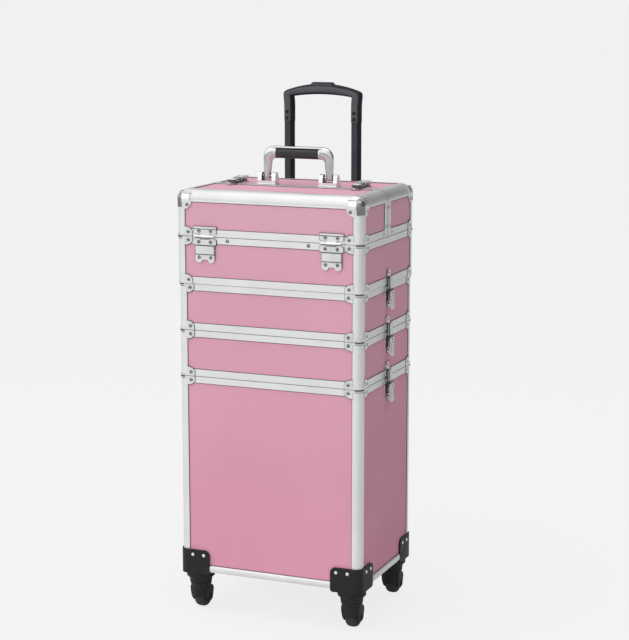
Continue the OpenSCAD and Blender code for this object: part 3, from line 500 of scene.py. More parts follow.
def collar(bm, spec, place, steps=4):
    """A frame as two rectangles of (half width, half depth, corner radius), then low and high in z."""
    outer, inner, low, high = spec
    rings = [rounded(-x, -y, x, y, r, steps) for x, y, r in (outer, inner)]
    hoop(bm, *rings, low, high, place)


def crowned(inner, outer, thick, power, y, sides=28):
    """A ring round the line between two (x, z) points, with a full section of the given thickness."""
    ring = []
    for i in range(sides):
        u, v = squarish(i, sides, power)
        k = (1 + u) / 2
        ring.append(Vector((inner[0] + (outer[0] - inner[0]) * k, y + v * thick / 2,
                            inner[1] + (outer[1] - inner[1]) * k)))
    return ring


def round_edges(bm, width, angle):
    """Rounds the sharp edges of what is built so far."""
    bmesh.ops.recalc_face_normals(bm, faces=bm.faces)
    sharp = [e for e in bm.edges if len(e.link_faces) == 2 and e.calc_face_angle(0.0) > math.radians(angle)]
    bmesh.ops.bevel(bm, geom=sharp, offset=width, offset_type="OFFSET", segments=3, profile=0.5,
                    affect="EDGES", clamp_overlap=True)


def facing(point, normal):
    """A 4x4 that puts local z along normal, at point."""
    z = Vector(normal).normalized()
    return Matrix.Translation(Vector(point)) @ z.to_track_quat("Z", "Y").to_matrix().to_4x4()


def turn(degrees, axis):
    return Matrix.Rotation(math.radians(degrees), 4, axis)


WALLS = {"front": ((1, 0, 0), (0, 0, 1), (0, -1, 0)), "rear": ((-1, 0, 0), (0, 0, 1), (0, 1, 0)),
         "right": ((0, 1, 0), (0, 0, 1), (1, 0, 0)), "left": ((0, -1, 0), (0, 0, 1), (-1, 0, 0)),
         "top": ((-1, 0, 0), (0, -1, 0), (0, 0, 1))}


def wall(side, point):
    """Local x to the viewer's right, y up the face and z outward, at a point of an outer face."""
    return Matrix.Translation(Vector(point)) @ Matrix(WALLS[side]).transposed().to_4x4()


def four_walls(w, d):
    """Each wall of a box: its side, a point below the middle of its face, and its length."""
    return (("front", (0, -d / 2, 0), w), ("rear", (0, d / 2, 0), w),
            ("right", (w / 2, 0, 0), d), ("left", (-w / 2, 0, 0), d))


def corner_place(c, w, d, z):
    """A 4x4 with the sharp corner at the origin."""
    return Matrix.Translation((c[0] * w / 2, c[1] * d / 2, z)) @ turn(c[2], "Z")


# Rivets: hollow, with painted shade as a dark core and a dark ring round the head, or plain and domed where
# the size is negative
HEAD = ((2.45, -0.2), (2.45, 0.5), (2.3, 0.95), (1.95, 1.25), (1.7, 1.2))
HOLLOW_SHADE = ((1.7, 1.2), (1.55, 0.98), (0.0, 0.95))
DOME = ((3.1, -0.2), (3.1, 0.3), (2.8, 0.8), (2.0, 1.2), (1.0, 1.4), (0.0, 1.45))
SHADE_RING = ((3.25, 0.0), (3.2, 0.15), (2.4, 0.25), (2.3, -0.1))
FULL, SMALL, PLAIN = 1.0, 0.9, -1.0
RAIL_H = 14.0
BRACKET_T, BRACKET_IN, BRACKET_UP = 1.0, 23.0, 7.0
MOUNT_T, MOUNT_IN, MOUNT_UP = 2.5, (23.0, 44.0), 30.0
CAP_IN, CAP_UP = 21.2, -26.2
STILE_IN, STILE_UP, STILE_FOOT_IN, STILE_FOOT_UP = 7.3, (18.0, 51.0), 19.71, 6.0
LEAF_X, LEAF_T, HOOD_T = 11.0, 1.2, 2.2
LEAF_TOP, HOOD_UP, LEAF_FOOT = 9.5, -9.3, -36.0
RAIL_RIVET_IN, RAIL_RIVET_UP = 42.0, -6.0
CATCH_T, CATCH_UP = 1.2, 20.5
LATCH_T, LATCH_X, LATCH_UP = 1.0, 5.0, -6.0
rivets = {}


def rivet(body, point, normal, size=FULL):
    rivets.setdefault(body, []).append((point, normal, size))


def corner_rivets(body, c, outline, along, out, up, z, size=FULL):
    """The same rivet on both outer faces of a corner."""
    spin = Matrix.Rotation(math.radians(c[2]), 3, "Z")
    corner = Vector((c[0] * outline[0] / 2, c[1] * outline[1] / 2, z))
    for local, normal in (((along, -out, up), (0, -1, 0)), ((-out, along, up), (-1, 0, 0))):
        rivet(body, spin @ Vector(local) + corner, spin @ Vector(normal), size)


def ring_rivets(body, outline, z, corners=CORNERS):
    for c in corners:
        corner_rivets(body, c, outline, BRACKET_IN, BRACKET_T, BRACKET_UP, z)


for body, (outline, low, high) in TIERS.items():
    if body != "base":
        ring_rivets(body, outline, low)
    ring_rivets(body, outline, high - RAIL_H)
for body, group in LID_HALVES:
    ring_rivets(body, TOP, LID_Z, group)
for body, group in LID_HALVES:
    for c in group:
        for x in MOUNT_IN:
            corner_rivets("base", c, CASE, x, MOUNT_T, MOUNT_UP, LIFT, PLAIN)
        corner_rivets(body, c, TOP, CAP_IN, BRACKET_T, CAP_UP, LID_TOP)
for s in (-1, 1):
    for side, body in ((-1, "front_lid"), (1, "top_case")):
        for z in STILE_UP:
            rivet(body, (s * TOP[0] / 2, SPLIT + side * STILE_IN, LID_Z + z), (s, 0, 0))
        rivet(body, (s * TOP[0] / 2, SPLIT + side * STILE_FOOT_IN, LID_Z + STILE_FOOT_UP), (s, 0, 0))
    for side, body in ((-1, "front_lid"), (1, "top_case")):
        face = side * TOP[1] / 2
        for x in (s * HINGE_X - LEAF_X, s * HINGE_X + LEAF_X):
            rivet(body, (x, face + side * LEAF_T, LID_Z + LEAF_TOP), (0, side, 0))
            rivet("top_case", (x, face + side * HOOD_T, LID_Z + HOOD_UP), (0, side, 0))
            rivet("top_case", (x, face + side * LEAF_T, LID_Z + LEAF_FOOT), (0, side, 0))
        rivet("top_case", (s * (HINGE_X - RAIL_RIVET_IN), face, LID_Z + RAIL_RIVET_UP), (0, side, 0))
    for z, low, high in zip(SEAMS, TIERS, list(TIERS)[1:]):
        rivet(high, (s * (TIERS[high][0][0] / 2 + CATCH_T), 0, z + CATCH_UP), (s, 0, 0))
        for y in (-LATCH_X, LATCH_X):
            rivet(low, (s * (CASE[0] / 2 + LATCH_T), y, z + LATCH_UP), (s, 0, 0), SMALL)
    rivet("front_lid", (s * HINGE_X, SPLIT - CATCH_UP, LID_TOP + CATCH_T), (0, 0, 1))
    for x in (-LATCH_X, LATCH_X):
        rivet("top_case", (s * HINGE_X + x, SPLIT - LATCH_UP, LID_TOP + LATCH_T), (0, 0, 1), SMALL)


def rivet_heads(bm, places):
    for point, normal, size in places:
        place = facing(point, normal) @ Matrix.Scale(abs(size), 4)
        if size < 0:
            lathe(bm, DOME, place)
            continue
        lathe(bm, HEAD, place)
        lathe(bm, HOLLOW_SHADE, place, mat=DARK)
        lathe(bm, SHADE_RING, place, mat=DARK)


for body, places in rivets.items():
    new_piece("rivets_" + body, rivet_heads, (NICKEL, BLACK), body, "nickel", places)


# Painted shade: dark lines round the boards where the profiles meet them, at the seams and round the split of
# the lid
SHADE_LINE_W, SHADE_LINE_R, SHADE_LINE_LOW, SHADE_LINE_HIGH = 0.9, 0.6, -1.6, -0.6
POST_W, RAIL_W, LID_RAIL_W, STILE_W, STRIP_W = 16.0, 12.0, 21.0, 14.3, 8.3
QUARTER = range(0, 91, 10)


def board_shade_line(bm, side, point, x0, y0, x1, y1):
    outer = rounded(x0, y0, x1, y1, SHADE_LINE_R, 1)
    inner = rounded(x0 + SHADE_LINE_W, y0 + SHADE_LINE_W, x1 - SHADE_LINE_W, y1 - SHADE_LINE_W, SHADE_LINE_R, 1)
    hoop(bm, outer, inner, SHADE_LINE_LOW, SHADE_LINE_HIGH, wall(side, point))


def tier_shade_lines(bm, w, d, z0, z1):
    for side, point, length in four_walls(w, d):
        board_shade_line(bm, side, point, POST_W - length / 2, z0 + RAIL_W, length / 2 - POST_W, z1 - RAIL_W)


def lid_shade_lines(bm, rear):
    w, d = TOP
    z0, z1 = LID_Z + RAIL_W, LID_TOP - LID_RAIL_W
    near = d / 2 - POST_W
    gap = SPLIT + (STILE_W if rear else -STILE_W)
    side, face = ("rear", d / 2) if rear else ("front", -d / 2)
    board_shade_line(bm, side, (0, face, 0), POST_W - w / 2, z0, w / 2 - POST_W, z1)
    y0, y1 = (gap, near) if rear else (-near, gap)
    board_shade_line(bm, "right", (w / 2, 0, 0), y0, z0, y1, z1)
    board_shade_line(bm, "left", (-w / 2, 0, 0), -y1, z0, -y0, z1)
    y0, y1 = (SPLIT + STRIP_W, d / 2 - LID_RAIL_W) if rear else (LID_RAIL_W - d / 2, SPLIT - STRIP_W)
    board_shade_line(bm, "top", (0, 0, LID_TOP), LID_RAIL_W - w / 2, -y1, w / 2 - LID_RAIL_W, -y0)


def seam_outline(w, d, side_out, corner_out):
    """Outline of a tier, standing further out at the corner brackets."""
    reach, step = 30.0, 0.1
    points = []
    for sx, sy, degrees in OUTWARD:
        spin = Matrix.Rotation(math.radians(degrees), 2)
        local = [(side_out, -reach), (corner_out, -reach + step)]
        local += arc(-POST_R, -POST_R, POST_R + corner_out, QUARTER)
        local += [(-reach + step, corner_out), (-reach, side_out)]
        for q in local:
            v = spin @ Vector(q)
            points.append((sx * w / 2 + v.x, sy * d / 2 + v.y))
    return points


def seam_shade_line(bm, w, d, z):
    """A dark line of painted shade all round a seam, and two bands of painted shade round each corner as
    (outside, inside, low, high).
    """
    bands = ((1.3, 0.4, -2.8, -0.02), (0.4, -0.5, -5.6, -4.5))
    side_out, corner_out, inside, foot, head = 0.22, 1.2, -1.0, -0.8, -0.02
    rings = [seam_outline(w, d, *out) for out in ((side_out, corner_out), (inside, inside))]
    hoop(bm, *rings, z + foot, z + head, Matrix())
    for c in OUTWARD:
        for out, back, low, high in bands:
            ends = arc(-POST_R, -POST_R, POST_R + out, QUARTER)
            ends += arc(-POST_R, -POST_R, POST_R + back, QUARTER[::-1])
            slab(bm, ends, low, high, corner_place(c, w, d, z))


def body_shade_lines(bm, body):
    if body in TIERS:
        outline, low, high = TIERS[body]
        tier_shade_lines(bm, *outline, low, high)
        seam_shade_line(bm, *outline, high)
    if body in dict(LID_HALVES):
        lid_shade_lines(bm, body == "top_case")


def split_shade_line(bm):
    """A dark line of painted shade round the split between the two half lids."""
    foot, steps, inside, outside, front, back = 1.0, 8, -1.0, 0.2, 0.28, -0.75
    rings = []
    for out in (inside, outside):
        ring = [(-TOP[0] / 2 - out, LID_Z + foot)]
        for sx, first in ((-1, 180), (1, 90)):
            ring += arc(sx * (TOP[0] / 2 - LID_EDGE), LID_TOP - LID_EDGE, LID_EDGE + out,
                        [first - 90.0 * i / steps for i in range(steps + 1)])
        ring.append((TOP[0] / 2 + out, LID_Z + foot))
        rings.append(ring)
    slab(bm, rings[1] + rings[0][::-1], back, front, wall("front", (0, SPLIT, 0)))


for body in FRAMED:
    new_piece("shade_lines_" + body, body_shade_lines, SHADE_LINE, body, "black_plastic", body)
new_piece("lid_split_seal", split_shade_line, SHADE_LINE, "top_case", "black_plastic")

# Dark edges behind the corner brackets: painted shade round their outlines
TAB = ((15.0, 0.0), (30.8, 0.0), (30.8, 9.4), (25.4, 14.8), (17.2, 16.9), (15.0, 16.9))
TAB_LOW, TAB_HIGH = -0.3, 0.5
TAB_FACES = (Matrix(((1, 0, 0, 0), (0, 0, -1, 0), (0, 1, 0, 0), (0, 0, 0, 1))),
             Matrix(((0, 0, -1, 0), (1, 0, 0, 0), (0, 1, 0, 0), (0, 0, 0, 1))))


def bracket_edges(bm, outline, z, up, corners=CORNERS):
    for c in corners:
        for face in TAB_FACES:
            slab(bm, [(x, y * up) for x, y in TAB], TAB_LOW, TAB_HIGH, corner_place(c, *outline, z) @ face)


def body_bracket_edges(bm, body):
    if body in TIERS:
        outline, low, high = TIERS[body]
        if body != "base":
            bracket_edges(bm, outline, low, 1)
        bracket_edges(bm, outline, high, -1)
    if body in dict(LID_HALVES):
        bracket_edges(bm, TOP, LID_Z, 1, dict(LID_HALVES)[body])


for body in FRAMED:
    new_piece("bracket_edges_" + body, body_bracket_edges, SHADE, body, "nickel", body)

# Corner caps of the lid: a sleeve over the post, plates on both faces and a bead on each edge. The sleeve is
# a darker chrome, a painted dark reflection, and so is the thin line by the bead, painted shade.
SLEEVE = ((12.4, -31.0), (12.4, -16.0), (12.1, -13.2), (11.2, -10.6), (9.7, -8.4), (7.6, -6.6), (5.0, -5.3),
          (2.0, -4.4), (2.0, -6.5), (6.6, -8.6), (9.6, -12.4), (10.8, -16.0), (10.8, -31.0))
SWAP_XY = Matrix(((0, 1, 0, 0), (1, 0, 0, 0), (0, 0, 1, 0), (0, 0, 0, 1)))


def edge_point(degrees, out):
    """A point over the rounded lid edge, as (in from the face, down from the top)."""
    a = math.radians(degrees)
    return LID_EDGE - (LID_EDGE + out) * math.cos(a), -LID_EDGE + (LID_EDGE + out) * math.sin(a)


def corner_cap(bm, c):
    plates, sleeve, bead = range(3)
    spread, steps, foot = 80.0, 12, -22.5
    plate_out, plate_in, plate_turns = 1.6, -0.3, range(0, 33, 4)
    bead_at, bead_out, bead_r = 40.0, 0.5, 2.1
    gap_at, gap_out, gap_r = 34.5, 0.0, 1.0
    home = corner_place(c, *TOP, LID_TOP)
    rows = []
    for i in range(steps + 1):
        a = math.radians(225.0 - spread / 2 + spread * i / steps)
        turned = [(POST_R + r * math.cos(a), POST_R + r * math.sin(a), z) for r, z in SLEEVE]
        rows.append([home @ Vector(p) for p in turned])
    loft(bm, rows, sleeve)
    flat = [(-plate_out, foot)] + [edge_point(t, plate_out) for t in plate_turns]
    flat += [edge_point(t, plate_in) for t in plate_turns[::-1]] + [(-plate_in, foot)]
    full = arc(*edge_point(bead_at, bead_out), bead_r, range(0, 360, 24))
    gap = arc(*edge_point(gap_at, gap_out), gap_r, range(0, 360, 45))
    sections = ((flat, (10.4, 25.5), plates), (full, (9.0, 27.0), bead), (gap, (9.5, 26.5), sleeve))
    for flip in (Matrix(), SWAP_XY):
        for section, ends, mat in sections:
            loft(bm, [[home @ flip @ Vector((x, y, z)) for y, z in section] for x in ends], mat)


def corner_caps(bm, group):
    for c in group:
        corner_cap(bm, c)


for body, group in LID_HALVES:
    finish = (NICKEL, REFLECTION_AND_SHADE_CHROME, CHROME)
    caps = new_piece("lid_corner_caps_" + body, corner_caps, finish, body, "chrome", group)
    soften(caps, width=0.25)

# Hinges, with plates as plate takes them
HINGE_HOOD = ((21.5, -14.0, -5.1, 1.4, 0.05, 2.2), (17.0, -29.4, -16.6, 0.8, 2.6, 3.2))
# Dark plates behind and between the hinge plates: painted shade at their outlines and gaps
HINGE_SHADE_PLATES = ((22.4, -14.9, -4.4, 1.8, -0.5, 0.7), (17.6, -16.2, -14.4, 0.4, 0.3, 2.95),
                (17.7, -31.6, -29.8, 0.4, 0.3, 2.2), (18.7, -40.0, -16.0, 0.6, -1.6, 0.6))
LEAF_SHADE_PLATES = ((22.4, 4.6, 17.8, 1.0, -0.5, 0.6), (21.0, 12.2, 13.4, 0.3, 0.3, 1.6))


def hinge_plates(bm, plates, bodies):
    """Plates at the hinges whose upper leaf is on one of the bodies."""
    for x in (-HINGE_X, HINGE_X):
        for side, y, body in (("front", -TOP[1] / 2, "front_lid"), ("rear", TOP[1] / 2, "top_case")):
            if body in bodies:
                for spec in plates:
                    plate(bm, spec, wall(side, (x, y, LID_Z)))


both = ("front_lid", "top_case")
soften(new_piece("hinge_hoods", hinge_plates, NICKEL, "top_case", "nickel", HINGE_HOOD, both), width=0.4)
new_piece("hinge_shade_plates", hinge_plates, SHADE, "top_case", "nickel", HINGE_SHADE_PLATES, both)
for body in both:
    new_piece("hinge_leaf_shade_plates_" + body, hinge_plates, SHADE, body, "nickel", LEAF_SHADE_PLATES, (body,))

# Latches: outlines along the latch and out from the face, drawn out across the latch
EDGEWISE = Matrix(((0, 0, 1, 0), (1, 0, 0, 0), (0, 1, 0, 0), (0, 0, 0, 1)))
CHEEK = ((-10.8, 4.8), (-11.3, 6.6), (-12.6, 8.0), (-15.0, 8.6), (-30.0, 8.8), (-39.8, 8.8), (-39.4, 6.8),
         (-36.4, 3.4), (-34.0, 1.8), (-31.0, 1.6), (-17.0, 2.2), (-13.0, 1.8), (-11.3, 2.9))
SHADE_PANEL = ((-13.2, 4.8), (-13.9, 6.4), (-16.0, 7.3), (-28.2, 7.5), (-28.2, 3.2), (-17.0, 3.5), (-14.2, 3.2))
RIB = ((-15.5, 5.0), (-15.5, 5.9), (-27.2, 6.1), (-27.2, 5.2))
RAIL = ((-26.9, 10.3), (-25.6, 8.6), (-40.3, 8.6), (-40.3, 10.3))
NOTCH = ((-38.9, 10.3), (-39.9, 8.9), (-40.5, 8.9), (-40.5, 10.3))
FLANGE = ((-8.0, 3.1), (12.0, 3.1), (12.6, 3.8), (12.6, 7.3), (-8.0, 7.3))
BEAD = ((-7.6, 4.7), (10.5, 4.7), (10.5, 5.6), (-7.6, 5.6))
SADDLE = ((-20.8, 8.95), (-20.8, 10.3), (-25.3, 10.3), (-25.3, 8.95))
TONGUE = ((-25.0, 8.3), (-25.0, 10.3), (-38.4, 10.3), (-38.4, 9.0), (-35.0, 8.3))
SHADE_BLOCK_WALL = ((-17.8, 0.9), (-17.8, 5.0), (-24.0, 4.4), (-35.0, 1.8), (-38.0, 0.9))
# What stands on both sides of a latch: outline, distance from the middle, half thickness, material
# The block inside each latch is all dark, painted shade between the cheeks
SHADE_BLOCK_SIDES = ((SHADE_BLOCK_WALL, 9.5, 0.6, LIGHT),)
LEVER_SIDES = ((CHEEK, 7.8, 0.6, LIGHT), (SHADE_PANEL, 8.35, 0.2, DARK), (RIB, 8.5, 0.15, LIGHT),
               (RAIL, 7.95, 0.75, LIGHT))
HOOK_SIDES = ((FLANGE, 6.9, 0.35, DARK), (BEAD, 7.3, 0.1, LIGHT))
# Flat pieces of a latch, as plate takes them
SHADE_BLOCK_BACK = (8.7, -39.6, -17.0, 0.8, 0.9, 1.3)
HOOK_FACE = (6.3, -7.0, 12.2, 1.0, 7.3, 8.1)
HOOK_BACK = (6.3, -32.6, -7.4, 0.6, 7.2, 9.0)
COVER = (8.5, -21.2, -11.6, 1.2, 8.95, 9.65)
COVER_STEP = (8.5, -20.9, -20.2, 0.2, 9.5, 9.8)
COVER_SLOT = (0.6, -36.5, -22.6, 0.4, 10.1, 10.42)
# The hook pin, along the latch and out from the face, and turned shapes
HOOK_PIN = (-32.0, 4.8)
COVER_BORE_Y = -15.5
PIN_HEAD = ((3.0, -0.1), (3.0, 0.25), (2.7, 0.4), (2.1, 0.4), (1.9, 0.1))
PIN_SHADE = ((2.0, 0.12), (0.0, 0.14))
COVER_BORE = ((2.3, 9.6), (2.2, 9.8), (0.0, 9.84))


def latch_places():
    """Each latch: the body that carries it, its label and its 4x4."""
    for s, side in ((-1, "left"), (1, "right")):
        for i, (z, body) in enumerate(zip(SEAMS, TIERS)):
            yield body, side + "_" + str(i + 1), wall(side, (s * CASE[0] / 2, 0, z))
        yield "top_case", "lid_" + side, wall("top", (s * HINGE_X, SPLIT, LID_TOP))


def latch_sides(bm, s, sides, place):
    for outline, x, half, mat in sides:
        slab(bm, outline, s * x - half, s * x + half, place @ EDGEWISE, mat)


# Dark blocks inside the latches, painted shade
def latch_shade_blocks(bm, body):
    for owner, _, place in latch_places():
        if owner == body:
            for s in (-1, 1):
                latch_sides(bm, s, SHADE_BLOCK_SIDES, place)
            plate(bm, SHADE_BLOCK_BACK, place)


def latch_lever(bm, place):
    """Two cheeks with dark panels of painted shade, the heads of the hook pin with dark cores of painted
    shade, and a tail plate notched for the hook.
    """
    pin_x, notch_half = 8.4, 7.3
    tail_half, tail_y, tail_r, tail_low, tail_high = 8.7, -40.1, 4.4, 8.9, 10.3
    for s in (-1, 1):
        latch_sides(bm, s, LEVER_SIDES, place)
        head = place @ Matrix.Translation((s * pin_x, *HOOK_PIN)) @ turn(90.0 * s, "Y")
        lathe(bm, PIN_HEAD, head)
        lathe(bm, PIN_SHADE, head, mat=DARK)
    slab(bm, NOTCH, -notch_half, notch_half, place @ EDGEWISE)
    tail = [(tail_half, tail_y), (-tail_half, tail_y)]
    tail += arc(0.0, tail_y, tail_half, range(195, 346, 15), tail_r)
    slab(bm, tail, tail_low, tail_high, place)


def hook_cover(bm, place):
    """The hook's flanges and face, and over the lever a cover with a small bore, a step and a tongue. The
    flanges below their bead, the back of the hook, the slots, the step and the bore are dark, painted shade.
    """
    slot_x, saddle_half, tongue_half = 5.4, 8.7, 6.8
    for s in (-1, 1):
        latch_sides(bm, s, HOOK_SIDES, place)
        plate(bm, COVER_SLOT, place, DARK, steps=1, x=s * slot_x)
    plate(bm, HOOK_FACE, place)
    plate(bm, HOOK_BACK, place, DARK)
    plate(bm, COVER, place)
    slab(bm, SADDLE, -saddle_half, saddle_half, place @ EDGEWISE)
    slab(bm, TONGUE, -tongue_half, tongue_half, place @ EDGEWISE)
    plate(bm, COVER_STEP, place, DARK, steps=1)
    lathe(bm, COVER_BORE, place @ Matrix.Translation((0, COVER_BORE_Y, 0)), 16, DARK)


for body in TIERS:
    new_piece("latch_shade_blocks_" + body, latch_shade_blocks, SHADE, body, "nickel", body)
for _, label, place in latch_places():
    # The second finish of the levers and hooks is painted shade
    finish = (SATIN, SHADE)
    lever = new_piece("lever_" + label, latch_lever, finish, "latch_lever_" + label, "nickel", place)
    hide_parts("latch_lever_" + label)
    soften(lever, width=0.3)
    cover = new_piece("hook_cover_" + label, hook_cover, finish, "latch_hook_" + label, "nickel", place)
    soften(cover, width=0.3)

# Casters
CASTER_IN = 25.0
WHEEL_R = 19.0
TRAIL = 9.0
LEG = ((-8.0, 42.0), (9.0, 42.0), (14.0, 39.8), (17.8, 36.2), (19.4, 31.0), (19.0, 24.0), (18.0, 19.0),
       (16.4, 13.9), (12.4, 10.7), (9.0, 10.0), (4.0, 10.4), (-0.6, 12.2), (-4.4, 15.6), (-7.4, 20.5),
       (-9.0, 26.0), (-10.0, 34.0), (-10.0, 40.0))
# Sections of the hood: height, half width, front, back, and how square it is
HOOD = ((39.4, 16.2, -14.4, 16.6, 2.3), (40.4, 17.0, -15.4, 17.8, 2.2), (43.0, 17.9, -16.8, 18.6, 2.1),
        (46.0, 18.8, -18.4, 19.0, 2.0), (47.8, 19.2, -19.2, 19.2, 2.0), (48.4, 18.8, -18.8, 18.8, 2.0))
STEM = ((0.0, 48.0), (4.0, 48.0), (4.0, 61.8), (3.5, 62.3), (0.0, 62.3))
AXLE = ((0.0, -14.0), (3.0, -14.0), (3.0, 14.0), (0.0, 14.0))
AXLE_HEAD = ((6.2, -0.6), (6.2, 0.6), (5.6, 1.2), (4.2, 1.2), (3.9, 0.7), (3.4, 0.7), (3.2, 1.9), (2.4, 2.3),
             (0.0, 2.35))


def caster_fork(bm, sx, sy):
    """A hooded fork: two rounded legs, a bowed front, a domed top with the stem, and the axle heads."""
    leg_x, leg_half, leg_from, taper, taper_z = 14.1, 2.5, 13.0, 0.07, 34.0
    bow_half, bow_y, bow_depth, bow_power = 15.8, -15.4, 8.8, 2.6
    bow_taper, bow_t, bow_low, bow_high = 0.93, 3.2, 21.5, 42.0
    sides, head_x = 40, 15.2
    home = Matrix.Translation((sx * (CASE[0] / 2 - CASTER_IN), sy * (CASE[1] / 2 - CASTER_IN), 0.0))
    for s in (-1, 1):
        slab(bm, LEG, s * leg_x - leg_half, s * leg_x + leg_half, home @ EDGEWISE)
    steps = [i / 10.0 for i in range(-10, 11)]
    bow = [(k * bow_half, bow_y + bow_depth * abs(k) ** bow_power) for k in steps]
    slab(bm, bow + [(x * bow_taper, y + bow_t) for x, y in bow[::-1]], bow_low, bow_high, home)
    round_edges(bm, width=1.6, angle=60.0)
    for v in bm.verts:
        local = v.co - home.translation
        if abs(local.x) > leg_from:
            v.co.x -= math.copysign(taper * max(0.0, taper_z - local.z), local.x)
    rows = []
    for z, x, front, back, power in HOOD:
        ring = [squarish(i, sides, power) for i in range(sides)]
        rows.append([home @ Vector((x * u, (back + front) / 2 + (back - front) / 2 * v, z)) for u, v in ring])
    loft(bm, rows)
    lathe(bm, STEM, home, 24)
    lathe(bm, AXLE, home @ Matrix.Translation((0.0, TRAIL, WHEEL_R)) @ turn(90.0, "Y"), 24)
    for s in (-1, 1):
        head = home @ Matrix.Translation((s * head_x, TRAIL, WHEEL_R)) @ turn(90.0 * s, "Y")
        lathe(bm, AXLE_HEAD, head, 28)


for sy, end in ((-1, "front"), (1, "rear")):
    for sx, side in ((-1, "left"), (1, "right")):
        node = "caster_fork_" + end + "_" + side
        fork = new_piece("fork_" + end + "_" + side, caster_fork, BLACK, node, "black_plastic", sx, sy)
        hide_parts(node)


# Base trim, carry handle and trolley
def base_trim(bm):
    """A half-round strip along each bottom rail of the base, between the corner mounts."""
    mount, low, middle, high, half, bulge, back, steps = 54.0, 0.5, 6.2, 11.9, 5.7, 1.7, -0.4, 12
    for side, point, length in four_walls(*CASE):
        place = wall(side, point)
        end = length / 2 - mount
        section = [(LIFT + high, back)]
        for i in range(steps + 1):
            a = math.radians(90.0 - 180.0 * i / steps)
            section.append((LIFT + middle + half * math.sin(a), bulge * math.cos(a)))
        section.append((LIFT + low, back))
        loft(bm, [[place @ Vector((x, z, out)) for z, out in section] for x in (-end, end)])


BOW_TOP = 822.0
GRIP_RING = ((9.2, 9.2, 6.6), (7.0, 7.0, 5.0), -2.8, 0.3)
BOW_LEG = ((53.0, 765.0), (52.6, 772.0), (51.6, 780.0), (50.6, 787.0))


def carry_bow(bm):
    """Two crowned legs with round shoulders, and the strip over the grip."""
    power, leg_out, leg_t, swell, steps = 2.6, 65.5, 10.0, 4.0, 10
    centre, radius, end_x = (46.0, 802.0), 20.0, 44.0
    bend, bend_in, bend_up, bend_power = (50.0, 793.8), 6.8, 7.0, 1.5
    mouth_x, mouth_z, mouth_t = 42.8, 800.3, 14.5
    strip_z, strip_t, strip_power = 817.6, 13.0, 3.0
    for s in (-1, 1):
        rows = [crowned((s * x, z), (s * leg_out, z), leg_t, power, HANDLE_Y) for x, z in BOW_LEG]
        for i in range(steps + 1):
            a = math.radians(90.0 / steps * i)
            k = i / steps
            inner = (s * (bend[0] - bend_in * k ** bend_power), bend[1] + bend_up * math.sin(a))
            x = centre[0] + radius * math.cos(a) if i < steps else end_x
            outer = (s * x, centre[1] + radius * math.sin(a))
            rows.append(crowned(inner, outer, leg_t + swell * k, power, HANDLE_Y))
        rows.append(crowned((s * mouth_x, mouth_z), (s * mouth_x, BOW_TOP), mouth_t, power, HANDLE_Y))
        loft(bm, rows)
    strip = range(-46, 47, 4)
    loft(bm, [crowned((x, strip_z), (x, BOW_TOP), strip_t, strip_power, HANDLE_Y) for x in strip])


def grip_rings(bm):
    ring_x, ring_z = 43.0, 809.3
    for s, side in ((-1, "left"), (1, "right")):
        collar(bm, GRIP_RING, wall(side, (s * ring_x, HANDLE_Y, ring_z)), steps=5)


BAR_TOP = 924.0
BAR_RISE = 14.0
BAR_UNDER = 905.0
UNDER_RISE = 4.5
BAR_T = 25.0
BAR_POWER = 2.4
FRONT_SHARE = 0.45
ARM_IN = 58.3
ARM_OUT = 74.4
# Sections of the trolley's arm: inner x and z, outer x and z, and how square it is
ARM = ((ARM_IN, 856.0, 71.7, 856.0, 7.0), (ARM_IN, 868.0, 71.7, 868.0, 7.0),
       (ARM_IN, 880.0, 71.7, 880.0, 7.0), (ARM_IN, 890.0, 72.3, 890.0, 6.0),
       (ARM_IN, 896.0, 73.4, 897.5, 4.6), (58.2, 899.0, ARM_OUT, 903.0, 3.6),
       (57.6, 900.3, ARM_OUT, 907.0, 3.0), (56.4, 900.8, 72.6, 910.0, 2.7))
BUTTON_RING = ((22.0, 8.8, 6.0), (20.25, 7.25, 5.0), 917.0, 924.5)
TUBE_COLLAR = ((8.4, 13.9, 1.8), (6.9, 12.4, 1.0), 636.0, 641.0)
SCREW_Z = (862.0, 873.0)
BAR_STEPS = (62.0, 54.0, 46.0, 38.0, 30.0, 22.0, 14.0, 7.0)
SCREW = ((3.3, -0.1), (3.3, 0.25), (3.0, 0.5), (1.9, 0.55), (1.7, 0.1), (0.0, 0.05))


def arch_at(x, half, rise, top):
    """Height at x of an arc that falls by rise from its top to each end, half a chord away."""
    radius = (half ** 2 + rise ** 2) / (2 * rise)
    return top - radius + math.sqrt(radius ** 2 - x * x)


def under_at(x):
    return arch_at(x, ARM_IN, UNDER_RISE, BAR_UNDER)


